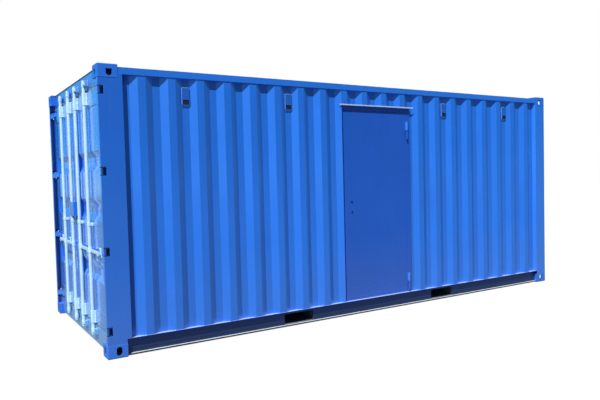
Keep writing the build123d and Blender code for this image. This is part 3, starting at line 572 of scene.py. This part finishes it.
near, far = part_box("front_wall")
path = trapezoids(near.y, far.y, front_pitch, front_crest, front_slope, front_deep)
heights = np.linspace(near.z, far.z, 22)
distance, height = np.meshgrid(path[:, 0], heights, indexing="ij")
outward = half_length - front_crest_in - path[:, 1][:, None] - drawn(distance, height) - set_back
front_sheet = grid_mesh("corrugated_front", np.stack([outward, distance, height], axis=-1))
thicken(front_sheet, wall_paint, "container", "front_wall")
outer = half_length - front_crest_in - path[:, 1]
for z in (near.z, far.z):
    edge_run = np.column_stack([outer, path[:, 0], np.full(len(path), z)])
    welds.append(stepped(edge_run, sheet_weld_step))
beads = carried(
    "wall_welds", round_section(sheet_weld_radius, 5), welds, (0.7, 0.7, 0), (0, 0, 1), bead_swell,
    sheet_weld_ripple,
)
settled(beads, weld_paint, "container", "blue_paint")


# Roof: five stamped 2 mm sheets butt-welded across, each with raised pads that shed water, and a flat plate
# between the corner fittings at each end.
pad_width, pad_slope, pad_pitch, pad_rise, pad_end_gap = 0.091, 0.0135, 0.209, 0.020, 0.110
near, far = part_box("roof")
roof_top = near.z + sheet_thickness
sheet_end = half_length - fitting_long
pad_count = int((2 * sheet_end - pad_width - 2 * pad_slope) / pad_pitch) + 1
pad_middles = (np.arange(pad_count) - (pad_count - 1) / 2) * pad_pitch
ramp = pad_width / 2 + pad_slope * np.linspace(0, 1, 5)
across_pad = np.concatenate([-ramp[::-1], [0], ramp])
x = np.concatenate([[-sheet_end], (pad_middles[:, None] + across_pad).ravel(), [sheet_end]])
pad_half = half_width - pad_end_gap
y_ramp = pad_half + pad_slope * np.linspace(0, 1, 5)
y = np.concatenate([[near.y], -y_ramp[::-1], np.linspace(-1, 1, 15) * (pad_half - 0.05), y_ramp, [far.y]])
distance, across = np.meshgrid(x, y, indexing="ij")
from_pad = np.abs(distance[..., None] - pad_middles).min(axis=-1)


def rising(beyond):
    """0 outside a pad's foot and 1 on its crown, along the smooth step t * t * (3 - 2 * t) of its slope."""
    t = np.clip(1 - beyond / pad_slope, 0, 1)
    return t * t * (3 - 2 * t)


rise = pad_rise * np.minimum(rising(from_pad - pad_width / 2), rising(np.abs(across) - pad_half))
sag = 0.0006 + drawn(distance, across, 0.0008) - 0.0008
stamped = np.stack([distance, across, roof_top + rise + np.minimum(sag, 0)], axis=-1)
between_fittings = half_width - fitting_wide
plates = []
for low, high in ((near.x, -sheet_end), (sheet_end, far.x)):
    across_plate = np.linspace(-between_fittings, between_fittings, 20)
    a, b = np.meshgrid(np.linspace(low, high, 4), across_plate, indexing="ij")
    plates.append(np.stack([a, b, np.full(a.shape, roof_top)], axis=-1))
roof_paint = container_paint("blue paint on stamped roof sheet", dust=0.1, wear=0.15)
thicken(grid_mesh("stamped_roof", stamped, *plates), roof_paint, "container", "roof")


# Ventilators: folded sheet hoods screwed into a trough high in each wall, open low in front over a sloping
# foot, with a black screen behind the opening that also stands as painted shade inside the hood, and beads of
# sealant along the top and both sides.
vent_paint = container_paint("blue paint on ventilator hoods", colour="#1A5FBE", wear=0.1, dust_and_highlight_on_tops=1.0)
dressed("ventilators", vent_paint, slot="vent_plastic", edge=0.001)
near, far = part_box("ventilators")
vents = [(k * side_pitch, side) for k in (-8, -4, 4, 8) for side in (-1, 1)]
sealant = container_paint("pale paint-splashed sealant", colour="#86AEE4", dust=0.1, wear=0.0, gloss=0.5)
screen_low, screen_high, screen_half, screen_in = near.z + 0.030, near.z + 0.079, 0.0335, 0.034
against_wall, hood_half, above_hood = half_width - 0.045, 0.034, far.z + 0.003
sealant_swell, sealant_ripple = 0.3, 0.018
across_runs = [
    stepped([(x + end * hood_half, side * against_wall, above_hood) for end in (-1, 1)]) for x, side in vents
]
upright_runs = [
    stepped([(x + end * hood_half, side * against_wall, z) for z in (screen_low, far.z)])
    for x, side in vents for end in (-1, 1)
]
for name, radius, runs, across, up in (
    ("across", 0.004, across_runs, (0, 1, 0), (0, 0, 1)),
    ("upright", 0.002, upright_runs, (1, 0, 0), (0, 1, 0)),
):
    beads = carried(
        f"vent_sealant_{name}", round_section(radius), runs, across, up, sealant_swell, sealant_ripple,
    )
    settled(beads, sealant, "container", "blue_paint")
screen_thick = 0.001
screen = [(0, screen_low), (screen_thick, screen_low), (screen_thick, screen_high), (0, screen_high)]
runs = [[(x + end * screen_half, side * (half_width - screen_in), 0) for end in (-1, 1)] for x, side in vents]
# The screen is black as a screen and as painted shade inside the hood.
screen_shade_black = container_paint("black insect screen and painted shade", colour="#07090C", dust=0.0, wear=0.0, gloss=0.7)
screens = carried("vent_screens", screen, runs, (0, 1, 0))
settled(screens, screen_shade_black, "container", "vent_plastic", smooth=False)


# Underframe: rolled C sections across, with the two fork tunnels between them, in dull paint thick with road
# dirt. Both are welded to the bottom rails.
under_paint = container_paint("dull paint under the floor", colour="#101A2C", dust=0.5, gloss=0.6)
for node in ("cross_members", "fork_pockets"):
    dressed(node, under_paint, slot="underframe_paint", edge=0.0012)


# Floor: 28 mm keruing plywood panels laid along the container, screwed to every cross member with countersunk
# screws. The face veneer runs lengthwise, and trolleys have polished and scratched it. Its grain is finer
# than the eye can part from here, so it is drawn 10 mm apart.
plywood, tree = blank_material("keruing plywood with a worn sealer")
place = add(tree, "ShaderNodeTexCoord").outputs["Object"]
lengthwise = add(tree, "ShaderNodeMapping", {"Vector": place, "Scale": (1.5, 34.0, 34.0)})
grain = add(tree, "ShaderNodeTexNoise", {
    "Vector": lengthwise, "Scale": 3.0, "Detail": 6.0, "Roughness": 0.65, "Distortion": 0.4,
})
veneer = add(tree, "ShaderNodeMapRange", {"Value": grain, "From Min": 0.32, "From Max": 0.68})
wood = add(tree, "ShaderNodeMix", {
    "Factor": veneer, "A": srgb("#5E3A22"), "B": srgb("#9A6B42"),
}, data_type="RGBA")
scuffs = add(tree, "ShaderNodeTexNoise", {"Vector": place, "Scale": 6.0, "Detail": 5.0})
scuffed = add(tree, "ShaderNodeMapRange", {
    "Value": scuffs, "From Min": 0.5, "From Max": 0.75, "To Min": 0.0, "To Max": 0.45,
})
board = add(tree, "ShaderNodeMix", {"Factor": scuffed, "A": wood, "B": srgb("#8A7B6A")}, data_type="RGBA")
board_rough = add(tree, "ShaderNodeMapRange", {"Value": scuffs, "To Min": 0.45, "To Max": 0.8})
bump = add(tree, "ShaderNodeBump", {"Height": grain, "Distance": 0.0008, "Strength": 0.4})
shader = add(tree, "ShaderNodeBsdfPrincipled", {
    "Base Color": board, "Roughness": board_rough, "Normal": bump,
})
add(tree, "ShaderNodeOutputMaterial", {"Surface": shader})

near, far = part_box("floor")
joint, chamfer, panels_across, panels_along = 0.002, 0.0015, 2, 3
panel_wide = (far.y - near.y) / panels_across
panel_long = (far.x - near.x) / panels_along
half_panel, thick = panel_wide / 2 - joint / 2, far.z - near.z
section = [
    (-half_panel, 0), (half_panel, 0), (half_panel, thick - chamfer), (half_panel - chamfer, thick),
    (-half_panel + chamfer, thick), (-half_panel, thick - chamfer),
]
paths = []
for i in range(panels_along):
    for j in range(panels_across):
        at = near.y + (j + 0.5) * panel_wide
        x0, x1 = near.x + i * panel_long + joint / 2, near.x + (i + 1) * panel_long - joint / 2
        paths.append([(x0, at, near.z), (x1, at, near.z)])
boards = carried("floor_panels", section, paths, (0, 1, 0))
settled(boards, plywood, "container", "plywood", "floor", smooth=False)


def turned(name, profile, centres, outward, sides=12):
    """Solids of revolution about an axis through each centre. Corner (r, h) of the profile at the angle t
    stands at centre + outward * h + (u * cos t + v * sin t) * r, and flat discs close both ends."""
    profile, centres = np.asarray(profile, float), np.asarray(centres, float)
    outward = np.asarray(outward, float)
    u = np.cross(outward, (0.3, 0.5, 0.9))
    u /= np.linalg.norm(u)
    v = np.cross(outward, u)
    angle = 2 * np.pi * np.arange(sides) / sides
    ring = np.cos(angle)[:, None] * u + np.sin(angle)[:, None] * v
    one = profile[:, 1][:, None, None] * outward + profile[:, 0][:, None, None] * ring[None]
    points = (centres[:, None, None] + one[None]).reshape(-1, 3)
    rings = len(profile)
    index = np.arange(len(centres) * rings * sides).reshape(-1, rings, sides)
    onward = np.roll(index, -1, axis=2)
    quads = np.stack([index[:, :-1], onward[:, :-1], onward[:, 1:], index[:, 1:]], axis=-1).reshape(-1, 4)
    return shaped(name, points.tolist(), quads.tolist() + index[:, 0, ::-1].tolist() + index[:, -1].tolist())


def zinc(name, colour, dull_colour, metallic):
    """Hot-dip zinc gone dull: pale grey with faint darker spangles 8 mm across and grime in patches."""
    made, tree = blank_material(name)
    place = add(tree, "ShaderNodeTexCoord").outputs["Object"]
    spangle = add(tree, "ShaderNodeTexVoronoi", {"Vector": place, "Scale": 125.0})
    grime = add(tree, "ShaderNodeTexNoise", {"Vector": place, "Scale": 14.0, "Detail": 4.0})
    patches = add(tree, "ShaderNodeMapRange", {
        "Value": grime, "From Min": 0.4, "From Max": 0.75, "To Min": 0.0, "To Max": 0.3,
    })
    base = add(tree, "ShaderNodeMix", {
        "Factor": patches, "A": srgb(colour), "B": srgb(dull_colour),
    }, data_type="RGBA")
    cell = add(tree, "ShaderNodeMapRange", {
        "Value": spangle, "From Min": 0.0, "From Max": 0.6, "To Min": 0.4, "To Max": 0.56,
    })
    bump = add(tree, "ShaderNodeBump", {"Height": grime, "Distance": 0.0006, "Strength": 0.3})
    shader = add(tree, "ShaderNodeBsdfPrincipled", {
        "Base Color": base, "Metallic": metallic, "Roughness": cell, "Normal": bump,
    })
    add(tree, "ShaderNodeOutputMaterial", {"Surface": shader})
    return made


# This zinc is tinted pale cyan: a painted reflection of the blue sky and the blue paint round it.
gear_zinc = zinc("dull hot-dip zinc", "#C6EAFC", "#93BBCB", 0.15)
screw_pitch, screw_rows, from_panel_edge, first_row, last_row = 0.29, 5, 0.03, 0.16, 0.05
screw_x = np.arange(near.x + first_row, far.x - last_row, screw_pitch)
screw_y = np.concatenate([
    near.y + j * panel_wide + np.linspace(from_panel_edge, panel_wide - from_panel_edge, screw_rows)
    for j in range(panels_across)
])
a, b = np.meshgrid(screw_x, screw_y, indexing="ij")
centres = np.column_stack([a.ravel(), b.ravel(), np.full(a.size, far.z)])
screws = turned("floor_screws", [(0.006, -0.002), (0.0065, 0.0002), (0.003, -0.0004)], centres, (0, 0, 1), 8)
settled(screws, gear_zinc, "container", "galvanised_steel", smooth=False)


# Door header and sill: folded plate across the rear end between the posts, the header with a stop behind the
# leaves and a bead of black mastic along its upper edge, and the sill with a slope down to the floor.
dressed("door_header", post_paint, edge=0.0025)
# The sill is painted a pale blue: scuffing, and a painted reflection of the bright ground it mirrors.
sill_paint = container_paint("blue paint scuffed and painted pale for the mirrored ground", colour="#6C98DE", coat=1.0)
dressed("door_sill", sill_paint, edge=0.0025)
near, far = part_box("door_header")
bead = [(-0.0012, -0.014), (0.001, -0.014), (0.001, 0.0), (-0.0004, 0.0), (-0.0012, -0.002)]
edge_run = stepped([(near.x, y, far.z) for y in (-between_fittings, between_fittings)], 0.05)
mastic = container_paint("black seam mastic", colour="#0B0E13", dust=0.1, wear=0.0, gloss=0.5)
strip = carried("header_mastic", bead, [edge_run], (1, 0, 0))
settled(strip, mastic, "container", "blue_paint", smooth=False)


# Cargo leaves: a welded frame of square tube round a pressed 2 mm panel with three level troughs. Their paint
# was sprayed thick and is the glossiest on the container, so the bars mirror in it. It is a lighter blue than
# the walls': a painted sheen of the sky on the door end.
leaf_paint = container_paint(
    "thick glossy blue paint on the door leaves", colour="#1F76EE", dust=0.5, wear=0.15, gloss=0.2, coat=1.0,
)
trough_floor, trough_slope, trough_deep = 0.070, 0.062, 0.020
high_from_top, low_from_bottom, middle_share = 0.505, 0.368, 0.56
press_radius = 0.02
for name in ("right", "left"):
    dressed(f"{name}_leaf_frame", leaf_paint, edge=0.0035, segments=3)
    near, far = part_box(f"{name}_leaf_panel")
    high, low = far.z - high_from_top, near.z + low_from_bottom
    outline = [[-far.z, 0]]
    for z in (high, low + middle_share * (high - low), low):
        half = trough_floor / 2
        outline += [
            [-z - half - trough_slope, 0], [-z - half, trough_deep], [-z + half, trough_deep],
            [-z + half + trough_slope, 0],
        ]
    path = folded(outline + [[-near.z, 0]], press_radius, 5)
    height, across = np.meshgrid(-path[:, 0], np.linspace(near.y, far.y, 15), indexing="ij")
    depth = near.x + path[:, 1][:, None] + set_back + drawn(across, height)
    panel = grid_mesh(f"{name}_pressed_panel", np.stack([depth, across, height], axis=-1))
    thicken(panel, leaf_paint, f"{name}_leaf", f"{name}_leaf_panel")
    welds = []
    for y in (near.y, far.y):
        side_run = np.column_stack([near.x + path[:, 1], np.full(len(path), y), -path[:, 0]])
        welds.append(stepped(side_run, sheet_weld_step))
    for z in (near.z, far.z):
        welds.append(stepped([(near.x, near.y, z), (near.x, far.y, z)], sheet_weld_step))
    beads = carried(
        f"{name}_panel_welds", round_section(sheet_weld_radius, 5), welds, (0.7, 0.7, 0), (0.3, 0.3, 0.9),
        bead_swell, sheet_weld_ripple,
    )
    settled(beads, weld_paint, f"{name}_leaf", "blue_paint")


# Door seals: an extruded EPDM section round each leaf with two lips that press on the frame, held by a flat
# strip with rivets behind. Ozone and dust have turned it a chalky grey.
rubber, tree = blank_material("weathered EPDM rubber")
place = add(tree, "ShaderNodeTexCoord").outputs["Object"]
bloom = add(tree, "ShaderNodeTexNoise", {"Vector": place, "Scale": 22.0, "Detail": 5.0, "Roughness": 0.7})
chalk = add(tree, "ShaderNodeMapRange", {"Value": bloom, "From Min": 0.4, "From Max": 0.7})
aged = add(tree, "ShaderNodeMix", {
    "Factor": chalk, "A": srgb("#66736E"), "B": srgb("#A5AE9C"),
}, data_type="RGBA")
bump = add(tree, "ShaderNodeBump", {"Height": bloom, "Distance": 0.0005, "Strength": 0.4})
shader = add(tree, "ShaderNodeBsdfPrincipled", {"Base Color": aged, "Roughness": 0.72, "Normal": bump})
add(tree, "ShaderNodeOutputMaterial", {"Surface": shader})


def sealed(name, profile, leaf, reach, depth, front):
    """A closed profile carried round a leaf's rectangle with mitred corners. Corner (out, in) stands out *
    reach past each edge, reach being (low y, high y, low z, high z), and in * depth behind the front."""
    profile = np.asarray(profile, float)
    (y0, z0), (y1, z1) = leaf
    out = profile[:, 0]
    low_y, high_y = y0 - out * reach[0], y1 + out * reach[1]
    low_z, high_z = z0 - out * reach[2], z1 + out * reach[3]
    x = front + profile[:, 1] * depth
    turns = [(low_y, low_z), (high_y, low_z), (high_y, high_z), (low_y, high_z)]
    rings = np.stack([np.column_stack([x, y, z]) for y, z in turns])
    index = np.arange(4 * len(profile)).reshape(4, -1)
    onward, beside = np.roll(index, -1, axis=0), np.roll(index, -1, axis=1)
    both = np.roll(beside, -1, axis=0)
    faces = np.stack([index, onward, both, beside], axis=-1).reshape(-1, 4)
    return shaped(name, rings.reshape(-1, 3).tolist(), faces.tolist(), turn_outward=True)


lips = [
    (0.0, 0.0), (0.55, 0.0), (0.98, 0.05), (0.98, 0.11), (0.5, 0.15), (0.42, 0.3), (0.42, 0.7), (0.5, 0.84),
    (0.98, 0.88), (0.98, 0.95), (0.5, 1.0), (0.0, 1.0),
]
pressed_on = 0.0044
for name in ("right", "left"):
    near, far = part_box(f"{name}_leaf_gasket")
    inner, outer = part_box(f"{name}_leaf_frame")
    reach = (inner.y - near.y, far.y - outer.y, inner.z - near.z + pressed_on, far.z - outer.z + pressed_on)
    leaf = ((inner.y, inner.z), (outer.y, outer.z))
    seal = sealed(f"{name}_door_seal", lips, leaf, reach, far.x - near.x, near.x)
    settled(seal, rubber, f"{name}_leaf", "door_rubber", f"{name}_leaf_gasket", smooth=False)


# Cargo door hinges: forged blades welded to the hinge stiles, turning on steel pins held by two lugs in each
# cut-out of the posts, with a wear plate between blade and lug. The pins' heads are peened over a washer.
# Lugs, pins and wear plates are dark blue, for old grease and as painted shade in the cut-outs.
# The blades' faces turned outward are painted a darker blue: painted shade on the knuckles in the posts'
# cut-outs.
knuckle_shade_paint = leaf_paint.copy()
knuckle_shade_paint.name = "thick blue paint, painted shade outside the knuckles"
tree = knuckle_shade_paint.node_tree
shader = next(node for node in tree.nodes if node.type == "BSDF_PRINCIPLED")
place = add(tree, "ShaderNodeTexCoord").outputs["Object"]
place_y = add(tree, "ShaderNodeSeparateXYZ", {"Vector": place}).outputs["Y"]
normal = add(tree, "ShaderNodeNewGeometry").outputs["Normal"]
normal_y = add(tree, "ShaderNodeSeparateXYZ", {"Vector": normal}).outputs["Y"]
outward = add(tree, "ShaderNodeMath", {0: place_y, 1: normal_y}, operation="MULTIPLY")
shade_painted = add(tree, "ShaderNodeMapRange", {"Value": outward, "From Min": 0.2, "From Max": 0.7})
darkened = add(tree, "ShaderNodeMix", {
    "Factor": shade_painted, "A": shader.inputs["Base Color"].links[0].from_socket, "B": srgb("#124CA6"),
}, data_type="RGBA")
tree.links.new(darkened.outputs["Result"], shader.inputs["Base Color"])
for name in ("right", "left"):
    dressed(f"{name}_hinge_blades", knuckle_shade_paint, edge=0.0025, segments=3)
# Dark blue for old grease, and painted shade in the cut-outs.
lug_grease_and_shade_paint = container_paint("blue paint under old grease and painted shade", colour="#10305F", dust=0.1, wear=0.0, gloss=0.5)
dressed("cargo_hinge_lugs", lug_grease_and_shade_paint, edge=0.0015)
pin_in, slot_half, lug_thick = 0.014, 0.0385, 0.012
hinge_count, half_blade = 4, 0.030
near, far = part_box("right_hinge_blades")
hinge_z = np.linspace(near.z + half_blade, far.z - half_blade, hinge_count)
head = [(0.0115, -0.0005), (0.0115, 0.002), (0.009, 0.002), (0.0085, 0.0055), (0.006, 0.008), (0.002, 0.0088)]
for up, name in ((1, "heads"), (-1, "feet")):
    centres = [
        (-half_length + pin_in, side * (half_width - pin_in), z + up * (slot_half + lug_thick))
        for side in (-1, 1) for z in hinge_z
    ]
    pins = turned(f"hinge_pin_{name}", head, centres, (0, 0, up), 16)
    settled(pins, lug_grease_and_shade_paint, "container", "blue_paint", smooth=False)
plate_out, plate_across, plate_corner, plate_ends = 0.005, 0.044, 0.016, (0.0306, 0.0383)
wear_plate = [
    (plate_out, plate_out), (plate_across, plate_out), (plate_across, plate_corner),
    (plate_corner, plate_across), (plate_out, plate_across),
]
for name, side in (("right", -1), ("left", 1)):
    paths = [
        [(-half_length, side * half_width, z + up * end) for end in plate_ends]
        for z in hinge_z for up in (1, -1)
    ]
    plates = carried(f"{name}_hinge_wear_plates", wear_plate, paths, (1, 0, 0), (0, -side, 0))
    settled(plates, lug_grease_and_shade_paint, "container", "blue_paint", smooth=False)


# Lock bars: galvanised steel tube with a forged cam at each end and a forged handle, turning in pressed
# brackets that are riveted to the leaves. The cams work in keepers on the header and the sill, whose zinc is
# splashed with blue paint under old grease.
for n in range(1, 5):
    dressed(f"lock_bar_{n}", gear_zinc, slot="galvanised_steel", edge=0.0022, segments=3)
greasy_zinc = zinc("zinc under old grease", "#7CB4E6", "#26384E", 0.15)
dressed("cam_keepers", greasy_zinc, slot="galvanised_steel", edge=0.0018)
for name in ("right", "left"):
    dressed(f"{name}_bar_guides", gear_zinc, slot="galvanised_steel", edge=0.0012)
    dressed(f"{name}_handle_catches", gear_zinc, slot="galvanised_steel", edge=0.0015)

bar_places, handle_reach, catch_from_end, catch_half = (0.172, 0.594), 0.350, 0.020, 0.020
bracket_tall, bracket_margin, middle_guide = 0.118, 0.007, 1.163
leaf_face, panel_face, bracket_plate = 0.044, 0.048, 0.004
rivet_across, rivet_apart, catch_across, catch_apart = 0.0275, 0.052, 0.024, 0.036
rivet = [(0.0062, -0.0005), (0.0062, 0.0008), (0.0054, 0.0026), (0.0036, 0.0042), (0.0014, 0.0048)]
for name, side in (("right", -1), ("left", 1)):
    inner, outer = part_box(f"{name}_leaf_frame")
    top, bottom = outer.z - bracket_margin - bracket_tall / 2, inner.z + bracket_margin + bracket_tall / 2
    catch_near, catch_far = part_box(f"{name}_handle_catches")
    catch_z = (catch_near.z + catch_far.z) / 2
    on_leaf, on_panel = leaf_face - bracket_plate, panel_face - bracket_plate
    centres = []
    for place in bar_places:
        middle = side * place
        catch = side * (place + handle_reach - catch_from_end - catch_half)
        for z in (top, bottom):
            for dy in (-1, 1):
                for dz in (-1, 0, 1):
                    centres.append((on_leaf, middle + dy * rivet_across, z + dz * rivet_apart))
        for dy in (-1, 1):
            centres.append((on_panel, middle + dy * rivet_across, middle_guide))
        for dy in (-1, 1):
            for dz in (-1, 1):
                centres.append((on_panel, catch + dy * catch_across, catch_z + dz * catch_apart))
    centres = np.array(centres)
    centres[:, 0] -= half_length
    heads = turned(f"{name}_bracket_rivets", rivet, centres, (-1, 0, 0))
    settled(heads, gear_zinc, f"{name}_leaf", "galvanised_steel")
dressed("lock_box", leaf_paint, edge=0.0025, segments=3)


# Data plate: a blank aluminium plate riveted at its corners to the left leaf, between the two bars. The metal
# is brushed and has gone slightly dull.
plate_near, plate_far, plate_thick, plate_sunk = (0.29, 1.50), (0.39, 1.58), 0.0015, 0.0005
corner, rivet_from_edge = 0.006, 0.008
near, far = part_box("left_leaf_panel")
middle_y, middle_z = (plate_near[0] + plate_far[0]) / 2, (plate_near[1] + plate_far[1]) / 2
half_y, half_z = (plate_far[0] - plate_near[0]) / 2, (plate_far[1] - plate_near[1]) / 2
outline = folded([
    (0, -half_z), (half_y, -half_z), (half_y, half_z), (-half_y, half_z), (-half_y, -half_z), (0, -half_z),
], corner, 3)[:-1]
through = [(x, middle_y, middle_z) for x in (near.x + plate_sunk, near.x - plate_thick)]
plate = carried("blank_data_plate", outline, [through], (0, 1, 0))
plate_metal = zinc("brushed aluminium plate", "#F0F4F6", "#D5DBDE", 0.6)
settled(plate, plate_metal, "left_leaf", "galvanised_steel", smooth=False)
small_rivet = [(0.003, 0.0), (0.003, 0.0006), (0.002, 0.0016), (0.0007, 0.0019)]
rivet_y, rivet_z = half_y - rivet_from_edge, half_z - rivet_from_edge
centres = [
    (near.x - plate_thick, middle_y + dy * rivet_y, middle_z + dz * rivet_z)
    for dy in (-1, 1) for dz in (-1, 1)
]
heads = turned("plate_rivets", small_rivet, centres, (-1, 0, 0), 8)
settled(heads, plate_metal, "left_leaf", "galvanised_steel")


# Personnel door: a flat steel leaf in a welded frame let into the wall, on two weld-on hinges, under a drip
# ledge whose front edge carries a pale metal strip, a painted highlight of the lit edge. Painted strips close
# the gap, and two round lock fittings sit near the edge.
door_paint = container_paint(
    "blue paint on the flat side door", colour="#1858C4", dust=0.25, wear=0.3, gloss=0.3,
)
dressed("side_door_frame", door_paint, edge=0.0015)
dressed("side_door_leaf", door_paint, edge=0.002)
hinge_paint = container_paint(
    "blue paint on turned hinge barrels", colour="#3E82DC", dust=0.2, wear=0.3, gloss=0.25,
)
dressed("side_door_hinges", hinge_paint, edge=0.0012)
near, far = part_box("side_door_frame")
strip_low, strip_high, strip_deep, strip_sunk = -0.007, 0.006, 0.0025, 0.0002
strip = [(0, strip_low), (strip_deep, strip_low), (strip_deep, strip_high), (0, strip_high)]
# The pale strip is a painted highlight along the ledge's lit front edge.
edge_run = [(x, -half_width + strip_sunk, far.z) for x in (near.x, far.x)]
drip_highlight = carried("drip_edge", strip, [edge_run], (0, 1, 0))
settled(drip_highlight, plate_metal, "container", "galvanised_steel", smooth=False)

near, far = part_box("side_door_leaf")
gap, strip_wide, strip_in, strip_thick = 0.005, 0.0032, 0.0015, 0.006
face, back = near.y + strip_in, near.y + strip_in + strip_thick
outer_x, outer_z = (near.x - gap, far.x + gap), (near.z - gap, far.z + gap)
strip = [(0, face), (strip_wide, face), (strip_wide, back), (0, back)]
uprights = [[(x, 0, z) for z in outer_z] for x in (outer_x[0], outer_x[1] - strip_wide)]
levels = [[(x, 0, z) for x in outer_x] for z in (outer_z[0], outer_z[1] - strip_wide)]
for name, paths, across in (("uprights", uprights, (1, 0, 0)), ("across", levels, (0, 0, 1))):
    strips = carried(f"side_door_seal_{name}", strip, paths, across, (0, 1, 0))
    settled(strips, door_paint, "container", "blue_paint", smooth=False)

# Stoved enamel glints evenly. The casting's pits, drawn coarse at 3 mm apart, break the glint up.
lock_black, tree = blank_material("black enamel on a die-cast lock")
place = add(tree, "ShaderNodeTexCoord").outputs["Object"]
pitting = add(tree, "ShaderNodeTexNoise", {"Vector": place, "Scale": 300.0, "Detail": 3.0})
rubbed = add(tree, "ShaderNodeMapRange", {"Value": pitting, "To Min": 0.3, "To Max": 0.55})
bump = add(tree, "ShaderNodeBump", {"Height": pitting, "Distance": 0.0003, "Strength": 0.3})
enamel = {"Base Color": srgb("#0E1216"), "Roughness": rubbed, "Normal": bump}
shader = add(tree, "ShaderNodeBsdfPrincipled", enamel)
add(tree, "ShaderNodeOutputMaterial", {"Surface": shader})
rose_near, rose_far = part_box("side_door_lock")
middle_x, rose_radius = (rose_near.x + rose_far.x) / 2, 0.012
rose = [
    (rose_radius, -0.0005), (rose_radius, 0.0028), (0.0108, 0.004), (0.0075, 0.004), (0.0065, 0.0028),
    (0.0055, 0.0028), (0.0045, 0.0036), (0.001, 0.0036),
]
centres = [(middle_x, near.y, z) for z in (rose_far.z - rose_radius, rose_near.z + rose_radius)]
roses = turned("lock_roses", rose, centres, (0, -1, 0), 32)
settled(roses, lock_black, "side_door", "lock_steel", "side_door_lock", smooth=False)
